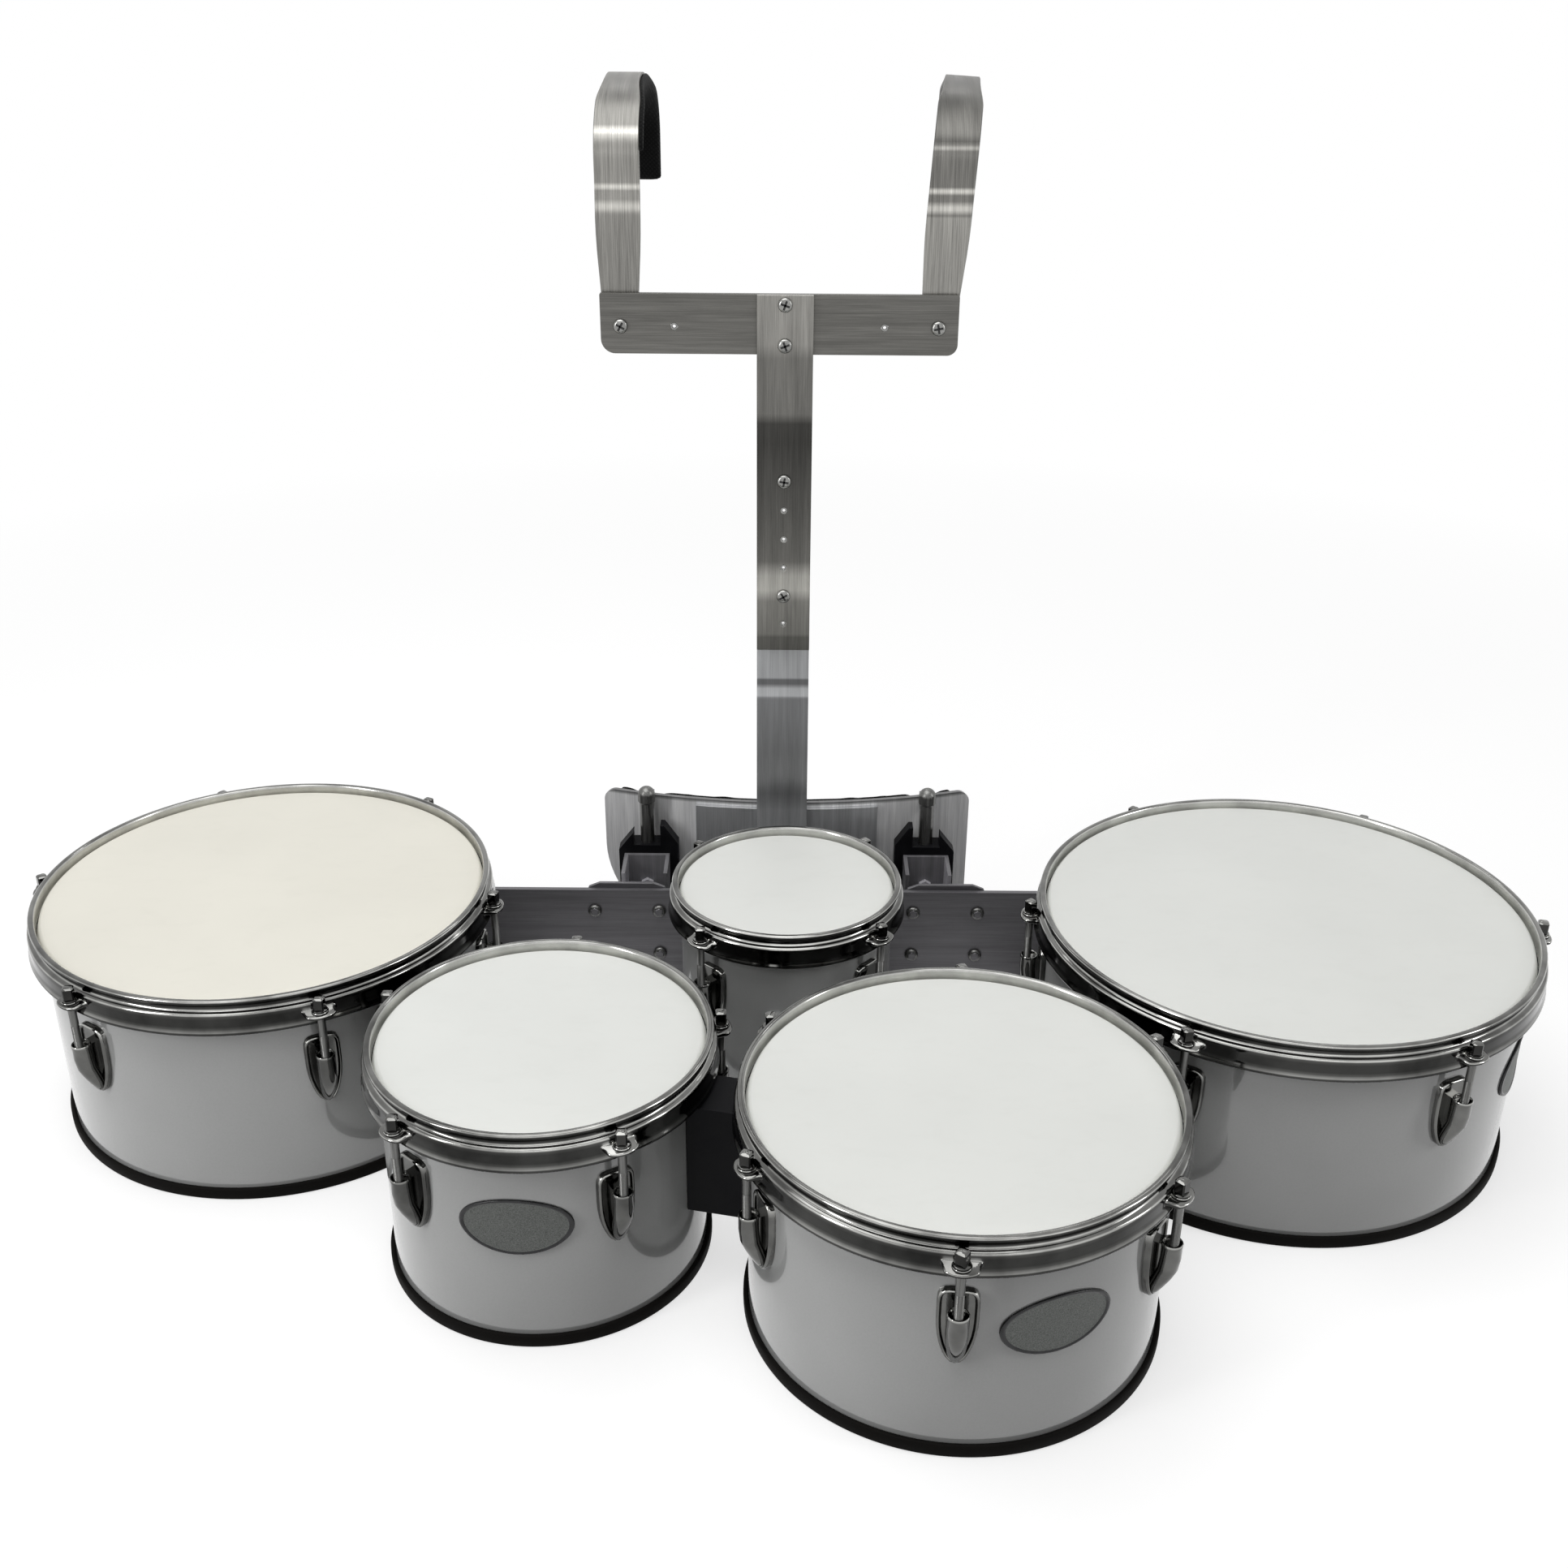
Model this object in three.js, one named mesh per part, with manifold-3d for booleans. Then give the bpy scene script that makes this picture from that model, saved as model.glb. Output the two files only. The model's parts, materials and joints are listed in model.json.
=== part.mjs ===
// Marching tenor drums: five single headed drums on a rack, hung from a shoulder carrier.
// Millimetres. X runs along the rack, Y from the audience towards the player, Z up from the floor.

import * as THREE from 'three';
import { mergeVertices } from 'three/addons/utils/BufferGeometryUtils.js';
import Module from 'manifold-3d';

const wasm = await Module();
wasm.setup();

// General sizes
const clearance = 0.3;
const cutOverrun = 3;
const weldDistance = 0.0001;

// Drum shells, heads and hoops
const headDiameters = { small: 152.4, eight: 203.2, ten: 254, twelve: 304.8, thirteen: 330.2 };
const headHeight = 156;
const shellWall = 6;
const bearingEdge = 3;
const filmThickness = 0.5;
const filmInset = 1.6;
const fleshHoopWidth = 4.7;
const fleshHoopHeight = 6;
const fleshHoopDrop = 6;
const trimWall = 3;
const trimHeight = 9;
const trimBase = 2.5;
const hoopSteel = 2.4;
const hoopRise = 5;
const hoopLip = 2.1;
const hoopInset = 2;
const hoopDepth = 19.5;
const hoopFlare = 1.2;

// Tension lugs and rods
const rodCircleGrowth = 12.5;
const rodRadius = 3;
const rodHeadRadius = 4.2;
const rodHeadHeight = 11;
const rodCollarRadius = 5.6;
const rodCollarHeight = 2;
const rodLength = 52;
const earWidth = 19;
const earThickness = 2.5;
const earDrop = 9;
const earReach = 7;
const lugWidth = 23;
const lugHeight = 52;
const lugDrop = 33;
const lugPlateGrowth = 7.5;
const lugCupRadius = 6;
const lugCupDrop = 42;

// Oval badges
const badgeWidth = 68;
const badgeHeight = 40;
const badgeThickness = 1.6;
const badgeDrop = 65;

// Spacing of the drums
const outerGap = 34.5;
const innerGap = 69;
const twelveGap = 145.5;
const thirteenGap = 111.6;
const twelveAngle = 181.4;
const thirteenAngle = -6;

// Rack plate behind the drums, spacer blocks and their fasteners
const rackThickness = 4;
const rackTopDrop = 50;
const rackTrimGap = 5;
const rackFlange = 26;
const spacerWidth = 36;
const spacerHeight = 79;
const spacerTopDrop = 21;
const frontSpacerOffset = 5;
const boltRadius = 3;
const boltHeadRadius = 5.5;
const boltHeadHeight = 3.4;
const nutHeight = 4;

// Receivers that join the rack to the carrier
const receiverOffset = 12.5;
const receiverPlateWidth = 66;
const receiverPlateHeight = 78;
const receiverPlateThickness = 3;
const receiverCorner = 12;
const receiverRivetWidth = 50;
const receiverRivetHeight = 38;
const receiverRivetDrop = 68;
const receiverPlateTopDrop = 46;
const tongueHeight = 20;
const tongueDrop = 102;

// Clamps on the carrier rods
const rodEdge = 36;
const channelWidth = 36;
const channelSheet = 3;
const channelTopDrop = 45;
const channelHeight = 73;
const channelDepth = 33;
const clampHeight = 46;
const clampDepth = 17.4;
const clampBoltDrop = 71;
const clampOuterReach = 22.5;
const clampInnerReach = 25;
const clampInnerTop = 14;
const clampNotch = 10.8;
const clampNotchDrop = 38;
const clampOuterShoulderDrop = 42;
const clampInnerShoulderDrop = 37;
const clampOuterTopDrop = 27;
const clampInnerTopDrop = 21;
const clampWingDepth = 11.7;
const clampBoltDepth = 2.4;
const tongueBackGap = 5;
const pivotRadius = 4;
const pivotHeadRadius = 7;
const pivotHeadHeight = 4;
const hangerRadius = 5.5;
const hangerRise = 10;
const hangerFootRise = 1;
const hangerGap = 7.5;
const hangerWall = 3;
const hangerBracketHeight = 9;
const hangerBracketWidth = 20;
const hangerHookWidth = 12;
const hangerHookHeight = 3;

// Belly plate and its pad
const bellyWidth = 295;
const bellyHeight = 124;
const bellyThickness = 3.5;
const bellyTopDrop = 3;
const bellyBendRadius = 450;
const bellyCorner = 10;
const bellyLowCornerLeft = 74;
const bellyLowCornerRight = 26;
const padThickness = 11.6;
const padInset = 5;
const padDraw = 2.6;
const padSpacing = 30;

// Spine of the carrier
const spineWidth = 39.5;
const spineOffset = -4;
const spineThickness = 4;
const spineFrontY = 128.7;
const lowerSpineBottomDrop = 96;
const lowerSpineTopDrop = 52;
const joggleGap = 29;
const joggleHeight = 9;
const bracketRodGap = 39;
const bracketHeight = 92;
const bracketThickness = 3;
const bracketTopDrop = 7;
const spineHolePitch = 21.9;
const spineHoleCount = 6;
const spineTopHoleDrop = 109.2;
const spineEndEdge = 21.3;
const spineScrewHoles = [0, 4];
const spineHoleRadius = 2.6;
const spineScrewRadius = 2.3;
const spineScrewHead = 5;
const spineScrewHeadHeight = 2.6;
const spineTravelUp = 44;
const spineTravelDown = 22;

// Shoulder crossbar and hooks
const crossbarEndEdge = 14;
const crossbarTopEdge = 22.5;
const crossbarHeight = 41.5;
const crossbarCorner = 12;
const crossbarOffset = -8;
const crossbarScrewRises = [16, -12];
const hookSpread = 111;
const hookBoltRise = 370;
const spareHoleSpread = 73.5;
const hookThickness = 4;
const hookFootWidth = 25;
const hookWidth = 31;
const hookFootEdge = 18;
const hookShankHeight = 68;
const hookKinkHeight = 26;
const hookKinkBack = 5;
const hookNeckHeight = 14;
const hookArchHeight = 50;
const hookReach = 172;
const hookTailDrop = 32;
const hookPadThickness = 12;
const hookPadWidth = 30.4;
const hookPadStartRise = 4;
const swivelBoltRadius = 3;
const swivelHeadRadius = 5.5;
const swivelHeadHeight = 3;
const rightHookLeanAngle = 3.5;
const rightHookSplayAngle = 5;

// Shares of the sizes above, and the number of sides of round shapes
const drumSides = 24;
const saddleSides = 72;
const bendSides = 288;
const boltSides = 6;
const pivotSides = 16;
const rodSides = 6;
const cupSides = 6;
const badgeSides = 16;
const hookArchSteps = 9;
const flangeBoltShare = 0.6;
const lugOutlineShares = [[0.38, 0], [0.5, 0.08], [0.5, 0.42], [0.36, 0.76], [0.14, 1]];
const padSeatShares = [0.1, 0.4, 0.7, 1];
const padCrownShares = [[1, 0.36], [0.975, 0.62], [0.93, 0.8], [0.78, 0.93], [0.5, 0.99], [0.1, 1]];
const hookPadEndShares = [0.4, 0.82, 1];
const hookPadSectionShares = [
  [-1, 0], [-0.4, 0], [0.4, 0], [1, 0], [1, 0.42], [0.93, 0.72], [0.7, 0.93], [0.3, 1],
  [-0.3, 1], [-0.7, 0.93], [-0.93, 0.72], [-1, 0.42],
];
const hookPadDraw = 0.05;
const domeShare = 1.25;
const domeShares = [[1, 1.6], [1, 0.9], [0.7, 0.25]];
const cupRadiusShares = [[1, 0], [0.92, 0.55], [0.3, 1]];
const quarterTurn = Math.PI / 2;
const radians = THREE.MathUtils.degToRad;

// Materials
const finish = (color, roughness, metalness) => ({ color, roughness, metalness });
const finishes = {
  shell: finish(0xe4e4ea, 0.18, 0),
  head: finish(0xf1f1ea, 0.45, 0),
  creamHead: finish(0xece9d8, 0.45, 0),
  chrome: finish(0xb9bcbf, 0.08, 1),
  rubber: finish(0x151416, 0.6, 0),
  badge: finish(0x8d9092, 0.35, 0.8),
  aluminium: finish(0x9c9a95, 0.32, 1),
  plate: finish(0x85858a, 0.4, 1),
  steel: finish(0xa6a6a6, 0.25, 1),
  clamp: finish(0x1b1b1d, 0.45, 0.3),
  foam: finish(0x121212, 0.9, 0),
};

// Solid geometry

function signedVolume(geometry) {
  const points = geometry.attributes.position;
  const index = geometry.index.array;
  const a = new THREE.Vector3();
  const b = new THREE.Vector3();
  const c = new THREE.Vector3();
  let sum = 0;
  for (let i = 0; i < index.length; i += 3) {
    a.fromBufferAttribute(points, index[i]);
    b.fromBufferAttribute(points, index[i + 1]);
    c.fromBufferAttribute(points, index[i + 2]);
    sum += a.dot(b.cross(c));
  }
  return sum;
}

// One closed surface with shared corners and its faces pointing out
function closed(geometry) {
  const bare = new THREE.BufferGeometry();
  bare.setAttribute('position', geometry.attributes.position.clone());
  if (geometry.index) bare.setIndex(geometry.index.clone());
  const joined = mergeVertices(bare, weldDistance);
  const kept = [];
  const index = joined.index.array;
  for (let i = 0; i < index.length; i += 3) {
    const [a, b, c] = [index[i], index[i + 1], index[i + 2]];
    if (a !== b && b !== c && c !== a) kept.push(a, b, c);
  }
  joined.setIndex(kept);
  if (signedVolume(joined) < 0) {
    for (let i = 0; i < kept.length; i += 3) [kept[i], kept[i + 1]] = [kept[i + 1], kept[i]];
    joined.setIndex(kept);
  }
  return joined;
}

function toSolid(geometry) {
  const vertProperties = new Float32Array(geometry.attributes.position.array);
  const triVerts = new Uint32Array(geometry.index.array);
  return new wasm.Manifold(new wasm.Mesh({ numProp: 3, vertProperties, triVerts }));
}

function toGeometry(solid) {
  const mesh = solid.getMesh();
  const geometry = new THREE.BufferGeometry();
  geometry.setAttribute('position', new THREE.BufferAttribute(new Float32Array(mesh.vertProperties), 3));
  geometry.setIndex([...mesh.triVerts]);
  return closed(geometry);
}

function cut(geometry, ...tools) {
  return toGeometry(tools.reduce((solid, tool) => solid.subtract(toSolid(tool)), toSolid(geometry)));
}

function join(geometry, ...others) {
  return toGeometry(others.reduce((solid, other) => solid.add(toSolid(other)), toSolid(geometry)));
}

function common(geometry, other) {
  return toGeometry(toSolid(geometry).intersect(toSolid(other)));
}

// A closed skin over rings of points, each end closed by a fan from its middle
function lofted(rings) {
  const points = rings.flat();
  const size = rings[0].length;
  const index = [];
  for (let start = 0; start < points.length - size; start += size) {
    for (let i = 0; i < size; i += 1) {
      const [a, b] = [start + i, start + ((i + 1) % size)];
      index.push(a, b, b + size, a, b + size, a + size);
    }
  }
  for (const start of [0, points.length - size]) {
    const ring = points.slice(start, start + size);
    const centre = ring.reduce((sum, point) => sum.add(point), new THREE.Vector3()).divideScalar(size);
    const apex = points.length;
    points.push(centre);
    for (let i = 0; i < size; i += 1) {
      const [a, b] = [start + i, start + ((i + 1) % size)];
      index.push(...(start === 0 ? [apex, b, a] : [apex, a, b]));
    }
  }
  const geometry = new THREE.BufferGeometry().setFromPoints(points);
  geometry.setIndex(index);
  return closed(geometry);
}

const moved = (geometry, x, y, z) => geometry.clone().translate(x, y, z);
const turned = (geometry, angle) => geometry.clone().rotateZ(angle);

// A solid turned about Z from [radius, height] corners
function revolved(profile, sides) {
  const corners = profile.map(([radius, height]) => new THREE.Vector2(radius, height));
  if (profile[0][0] > 0) corners.push(corners[0]);
  return closed(new THREE.LatheGeometry(corners, sides).rotateX(quarterTurn));
}

function rod(radius, low, high, sides) {
  return revolved([[0, low], [radius, low], [radius, high], [0, high]], sides);
}

function box(x0, x1, y0, y1, z0, z1) {
  const geometry = new THREE.BoxGeometry(x1 - x0, y1 - y0, z1 - z0);
  return closed(geometry.translate((x0 + x1) / 2, (y0 + y1) / 2, (z0 + z1) / 2));
}

// An outline in the XY plane raised from low to high
function raised(outline, low, high) {
  const shape = new THREE.Shape(outline.map(([x, y]) => new THREE.Vector2(x, y)));
  const geometry = new THREE.ExtrudeGeometry(shape, { depth: high - low, bevelEnabled: false });
  return closed(geometry.translate(0, 0, low));
}

// An upright plate: an outline in X and Z, and its front and back in Y
function upright(outline, front, back) {
  return raised(outline.map(([x, z]) => [x, -z]), front, back).rotateX(-quarterTurn);
}

// Corner points of a rectangle whose corners are rounded: radii run from the low left, anticlockwise
function roundedOutline(x0, x1, z0, z1, radii, steps) {
  const centres = [[x0, z0, 1, 1], [x1, z0, -1, 1], [x1, z1, -1, -1], [x0, z1, 1, -1]];
  return centres.flatMap(([x, z, sideX, sideZ], corner) => {
    const radius = radii[corner];
    const start = Math.PI + corner * quarterTurn;
    return Array.from({ length: steps + 1 }, (_, step) => {
      const angle = start + (step / steps) * quarterTurn;
      return [x + sideX * radius + radius * Math.cos(angle), z + sideZ * radius + radius * Math.sin(angle)];
    });
  });
}

// Turns a piece made along +Z so that it points along the given direction in the XY plane
function pointing(geometry, angle) {
  return geometry.clone().rotateY(quarterTurn).rotateZ(angle);
}

// Places of the drums

const radiusOf = (size) => headDiameters[size] / 2;

// The flats inside a shell lie nearer its axis than its corners do
const innerFlat = (radius) => (radius - shellWall) * Math.cos(Math.PI / drumSides);

function placeBeside(distance, angle) {
  return new THREE.Vector2(distance * Math.cos(radians(angle)), distance * Math.sin(radians(angle)));
}

// The place that lies at two given distances from two known places, on the audience's side of them
function placeBetween(first, firstDistance, second, secondDistance) {
  const base = second.clone().sub(first);
  const span = base.length();
  const along = (firstDistance ** 2 - secondDistance ** 2 + span ** 2) / (2 * span);
  const across = Math.sqrt(firstDistance ** 2 - along ** 2);
  const direction = base.normalize();
  const normal = new THREE.Vector2(-direction.y, direction.x);
  if (normal.y > 0) normal.negate();
  return first.clone().addScaledVector(direction, along).addScaledVector(normal, across);
}

const smallPlace = new THREE.Vector2(0, 0);
const twelvePlace = placeBeside(radiusOf('twelve') + twelveGap + radiusOf('small'), twelveAngle);
const thirteenPlace = placeBeside(radiusOf('thirteen') + thirteenGap + radiusOf('small'), thirteenAngle);
const eightPlace = placeBetween(
  smallPlace, radiusOf('small') + innerGap + radiusOf('eight'),
  twelvePlace, radiusOf('twelve') + outerGap + radiusOf('eight'),
);
const tenPlace = placeBetween(
  smallPlace, radiusOf('small') + innerGap + radiusOf('ten'),
  thirteenPlace, radiusOf('thirteen') + outerGap + radiusOf('ten'),
);

const drums = [
  { name: 'drum_6', size: 'small', place: smallPlace, lugs: 4, firstLug: -132 },
  { name: 'drum_8', size: 'eight', place: eightPlace, lugs: 5, firstLug: -131, badge: -93 },
  { name: 'drum_10', size: 'ten', place: tenPlace, lugs: 6, firstLug: -155, badge: -69 },
  { name: 'drum_12', size: 'twelve', place: twelvePlace, lugs: 6, firstLug: -123.3 },
  { name: 'drum_13', size: 'thirteen', place: thirteenPlace, lugs: 6, firstLug: -123.9, badge: -30.6 },
];
const [drum6, drum8, drum10, drum12, drum13] = drums;

const lugAngles = ({ lugs, firstLug }) =>
  Array.from({ length: lugs }, (_, index) => radians(firstLug) + (index * 2 * Math.PI) / lugs);

// Holes that pieces outside a drum put through its shell
const shellHoles = new Map(drums.map((drum) => [drum, []]));

function radialHole(radius, angle, height, inner, outer, sides) {
  return moved(pointing(rod(radius, inner, outer, sides), angle), 0, 0, height);
}

// Drum parts, each in its own drum's frame

const rodCircle = (radius) => radius + rodCircleGrowth;
const earTop = headHeight - earDrop;
const rodBottom = earTop - rodLength;
const lugTop = headHeight - lugDrop;

// A shield shaped plate, cast with a half sunk cup that takes the rod
function lugOf(drum) {
  const radius = radiusOf(drum.size);
  const side = lugOutlineShares.map(([across, down]) => [across * lugWidth, lugTop - down * lugHeight]);
  const otherSide = [...side].reverse().map(([y, z]) => [-y, z]);
  const outline = [...side, ...otherSide].map(([y, z]) => [-z, y]);
  const plate = raised(outline, radius - shellWall / 2, radius + lugPlateGrowth).rotateY(quarterTurn);
  const cupTop = headHeight - lugCupDrop;
  const cupHeight = lugHeight - (lugCupDrop - lugDrop);
  const cupSide = cupRadiusShares.map(([across, down]) =>
    [across * lugCupRadius, cupTop - down * cupHeight]);
  const cup = revolved([[0, cupTop], ...cupSide, [0, cupTop - cupHeight]], cupSides);
  const bore = rod(rodRadius + clearance, rodBottom - clearance, lugTop + cutOverrun, rodSides);
  return cut(join(plate, moved(cup, rodCircle(radius), 0, 0)), moved(bore, rodCircle(radius), 0, 0));
}

function shellOf(drum) {
  const radius = radiusOf(drum.size);
  const top = headHeight - filmThickness - clearance;
  const inner = radius - shellWall;
  const body = revolved([
    [inner, trimBase + clearance], [radius, trimBase + clearance], [radius, top - bearingEdge],
    [radius - bearingEdge, top], [inner, top - bearingEdge],
  ], drumSides);
  const lug = lugOf(drum);
  const lugs = lugAngles(drum).map((angle) => turned(lug, angle));
  return cut(join(body, ...lugs), ...shellHoles.get(drum));
}

function headOf(drum) {
  const radius = radiusOf(drum.size);
  const low = headHeight - fleshHoopDrop - fleshHoopHeight;
  const collar = radius + 2 * clearance;
  return revolved([
    [0, headHeight], [radius - filmInset, headHeight],
    [collar + filmThickness, headHeight - fleshHoopDrop],
    [collar + fleshHoopWidth, headHeight - fleshHoopDrop],
    [collar + fleshHoopWidth, low], [collar, low],
    [collar, headHeight - filmThickness - bearingEdge],
    [radius - bearingEdge, headHeight - filmThickness], [0, headHeight - filmThickness],
  ], drumSides);
}

// The wall of the hoop stands on the flesh hoop, its skirt hangs outside it, and each ear holds a rod
const hoopWall = (radius) => radius + hoopInset;
const hoopSkirt = (radius) => radius + 4 * clearance + fleshHoopWidth;

function hoopOf(drum) {
  const radius = radiusOf(drum.size);
  const wall = hoopWall(radius);
  const skirt = hoopSkirt(radius);
  const step = headHeight - fleshHoopDrop + clearance;
  const ring = revolved([
    [wall, step], [wall, headHeight + hoopRise], [wall + hoopSteel + hoopLip, headHeight + hoopRise],
    [wall + hoopSteel, step + hoopSteel], [skirt + hoopSteel, step + hoopSteel / 2],
    [skirt + hoopSteel + hoopFlare, headHeight - hoopDepth],
    [skirt + hoopFlare, headHeight - hoopDepth], [skirt, step],
  ], drumSides);
  const reach = rodCircle(radius) + earReach;
  const root = skirt + hoopSteel / 2;
  const outline = [
    [root, -earWidth / 2], [rodCircle(radius), -earWidth / 2], [reach, -earWidth / 4],
    [reach, earWidth / 4], [rodCircle(radius), earWidth / 2], [root, earWidth / 2],
  ];
  const tensionRod = moved(revolved([
    [0, rodBottom], [rodRadius, rodBottom], [rodRadius, earTop - earThickness / 2],
    [rodCollarRadius, earTop - earThickness / 2], [rodCollarRadius, earTop + rodCollarHeight],
    [rodHeadRadius, earTop + rodHeadHeight], [0, earTop + rodHeadHeight],
  ], rodSides), rodCircle(radius), 0, 0);
  const ear = join(raised(outline, earTop - earThickness, earTop), tensionRod);
  return join(ring, ...lugAngles(drum).map((angle) => turned(ear, angle)));
}

function bottomTrimOf(drum) {
  const radius = radiusOf(drum.size);
  return revolved([
    [radius - shellWall, 0], [radius + clearance + trimWall, 0], [radius + clearance + trimWall, trimHeight],
    [radius + clearance, trimHeight], [radius + clearance, trimBase], [radius - shellWall, trimBase],
  ], drumSides);
}

function badgeOf(drum) {
  const radius = radiusOf(drum.size);
  const outline = Array.from({ length: badgeSides }, (_, step) => {
    const angle = (step / badgeSides) * 2 * Math.PI;
    return [(badgeHeight / 2) * Math.cos(angle), (badgeWidth / 2) * Math.sin(angle)];
  });
  const prism = raised(outline, radius / 2, radius + trimWall + cutOverrun).rotateY(quarterTurn);
  const low = headHeight - badgeDrop - badgeHeight;
  const high = headHeight - badgeDrop + badgeHeight;
  const skin = cut(
    rod(radius + clearance + badgeThickness, low, high, saddleSides),
    rod(radius + clearance, low - cutOverrun, high + cutOverrun, saddleSides),
  );
  return turned(common(moved(prism, 0, 0, headHeight - badgeDrop), skin), radians(drum.badge));
}

// Rack plate: a straight sheet behind the small drum whose ends bend back along the outer drums

const rackFront = radiusOf('small') + clearance;
const rackBack = rackFront + rackThickness;
const rackTop = headHeight - rackTopDrop;
const rackBottom = trimHeight + rackTrimGap;
const flangeRadius = (drum) => radiusOf(drum.size) + clearance;

// Where a drum's saddle radius crosses a line of constant Y: the angle, measured from the drum's side
function crossing(drum, radius, y) {
  return Math.asin((y - drum.place.y) / radius);
}

function flangeArc(drum, growth, line, side, steps) {
  const radius = flangeRadius(drum) + growth;
  const start = crossing(drum, radius, line);
  const end = crossing(drum, flangeRadius(drum), rackFront) + rackFlange / flangeRadius(drum);
  return Array.from({ length: steps + 1 }, (_, step) => {
    const angle = start + ((end - start) * step) / steps;
    return [drum.place.x + side * radius * Math.cos(angle), drum.place.y + radius * Math.sin(angle)];
  });
}

const flangeSteps = 4;
const boltTurn = (drum) =>
  crossing(drum, flangeRadius(drum), rackFront) + (rackFlange * flangeBoltShare) / flangeRadius(drum);
const rackMiddle = (rackTop + rackBottom) / 2;
const rackFixings = [
  { drum: drum6, angle: quarterTurn },
  { drum: drum12, angle: boltTurn(drum12) },
  { drum: drum13, angle: Math.PI - boltTurn(drum13) },
];

// A bolt with its head outside the rack plate and its nut inside the shell
function rackBolt({ drum, angle }) {
  const radius = radiusOf(drum.size);
  const outside = radius + 2 * clearance + rackThickness;
  const inside = innerFlat(radius) - clearance;
  const shape = revolved([
    [0, inside - nutHeight], [boltHeadRadius, inside - nutHeight], [boltHeadRadius, inside],
    [boltRadius, inside], [boltRadius, outside], [boltHeadRadius, outside],
    [boltHeadRadius, outside + boltHeadHeight], [0, outside + boltHeadHeight],
  ], boltSides);
  return moved(pointing(shape, angle), drum.place.x, drum.place.y, rackMiddle);
}

function rackBoltHole({ drum, angle }) {
  const radius = radiusOf(drum.size);
  return radialHole(
    boltRadius + clearance, angle, rackMiddle, radius / 2, radius + rackThickness + cutOverrun, boltSides,
  );
}

for (const fixing of rackFixings) shellHoles.get(fixing.drum).push(rackBoltHole(fixing));

const rodSpread = bellyWidth / 2 - rodEdge;
const receiverSpread = rodSpread + receiverOffset;
const receiverX = [-receiverSpread, receiverSpread];
const receiverRivetZ = headHeight - receiverRivetDrop - receiverRivetHeight / 2;
const receiverRivets = receiverX.flatMap((centre) => [-1, 1].flatMap((side) => [-1, 1].map((row) => [
  centre + (side * receiverRivetWidth) / 2, receiverRivetZ + (row * receiverRivetHeight) / 2,
])));

function throughY(radius, x, front, back, z, sides) {
  return moved(rod(radius, -back, -front, sides).rotateX(quarterTurn), x, 0, z);
}

function rackPlate() {
  const left = flangeArc(drum12, 0, rackFront, 1, flangeSteps).reverse();
  const right = flangeArc(drum13, 0, rackFront, -1, flangeSteps);
  const leftBack = flangeArc(drum12, rackThickness, rackBack, 1, flangeSteps);
  const rightBack = flangeArc(drum13, rackThickness, rackBack, -1, flangeSteps).reverse();
  const sheet = raised([...left, ...right, ...rightBack, ...leftBack], rackBottom, rackTop);
  const drumHoles = rackFixings.map((fixing) =>
    moved(rackBoltHole(fixing), fixing.drum.place.x, fixing.drum.place.y, 0));
  const rivetHoles = receiverRivets.map(([x, z]) => throughY(
    boltRadius + clearance, x, rackFront - cutOverrun, rackBack + cutOverrun, z, boltSides,
  ));
  return cut(sheet, ...drumHoles, ...rivetHoles);
}

// Spacer blocks between neighbouring shells

const spacerTop = headHeight - spacerTopDrop;
const spacerMiddle = spacerTop - spacerHeight / 2;

// A block between two shells, and the bolt that goes through both shells and the block;
// forward moves the block from the line between the drums towards the audience
function spacerBetween(first, second, forward) {
  const gap = second.place.clone().sub(first.place);
  const span = gap.length();
  const firstRadius = radiusOf(first.size);
  const secondRadius = radiusOf(second.size);
  const half = spacerWidth / 2;
  const block = box(
    firstRadius / 2, span - secondRadius / 2, -half - forward, half - forward,
    spacerTop - spacerHeight, spacerTop,
  );
  const saddle = (radius, x) => moved(rod(
    radius + clearance, spacerTop - spacerHeight - cutOverrun, spacerTop + cutOverrun, saddleSides,
  ), x, 0, 0);
  const headSeat = innerFlat(firstRadius) - clearance;
  const nutSeat = span - innerFlat(secondRadius) + clearance;
  const throughHole = pointing(rod(boltRadius + clearance, firstRadius / 2, span, boltSides), 0);
  const throughBolt = pointing(revolved([
    [0, headSeat - boltHeadHeight], [boltHeadRadius, headSeat - boltHeadHeight], [boltHeadRadius, headSeat],
    [boltRadius, headSeat], [boltRadius, nutSeat], [boltHeadRadius, nutSeat],
    [boltHeadRadius, nutSeat + nutHeight], [0, nutSeat + nutHeight],
  ], boltSides), 0);
  const body = cut(
    block, saddle(firstRadius, 0), saddle(secondRadius, span), moved(throughHole, 0, 0, spacerMiddle),
  );
  for (const [drum, angle] of [[first, gap.angle()], [second, gap.angle() + Math.PI]]) {
    const radius = radiusOf(drum.size);
    shellHoles.get(drum).push(radialHole(
      boltRadius + clearance, angle, spacerMiddle,
      radius - shellWall - cutOverrun, radius + cutOverrun, boltSides,
    ));
  }
  const place = (geometry) => moved(turned(geometry, gap.angle()), first.place.x, first.place.y, 0);
  return { body: place(body), bolt: place(moved(throughBolt, 0, 0, spacerMiddle)) };
}

const spacers = {
  '12_8': spacerBetween(drum12, drum8, 0),
  '8_10': spacerBetween(drum8, drum10, frontSpacerOffset),
  '10_13': spacerBetween(drum10, drum13, 0),
};

// Stack of the carrier from front to back at its middle

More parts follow.
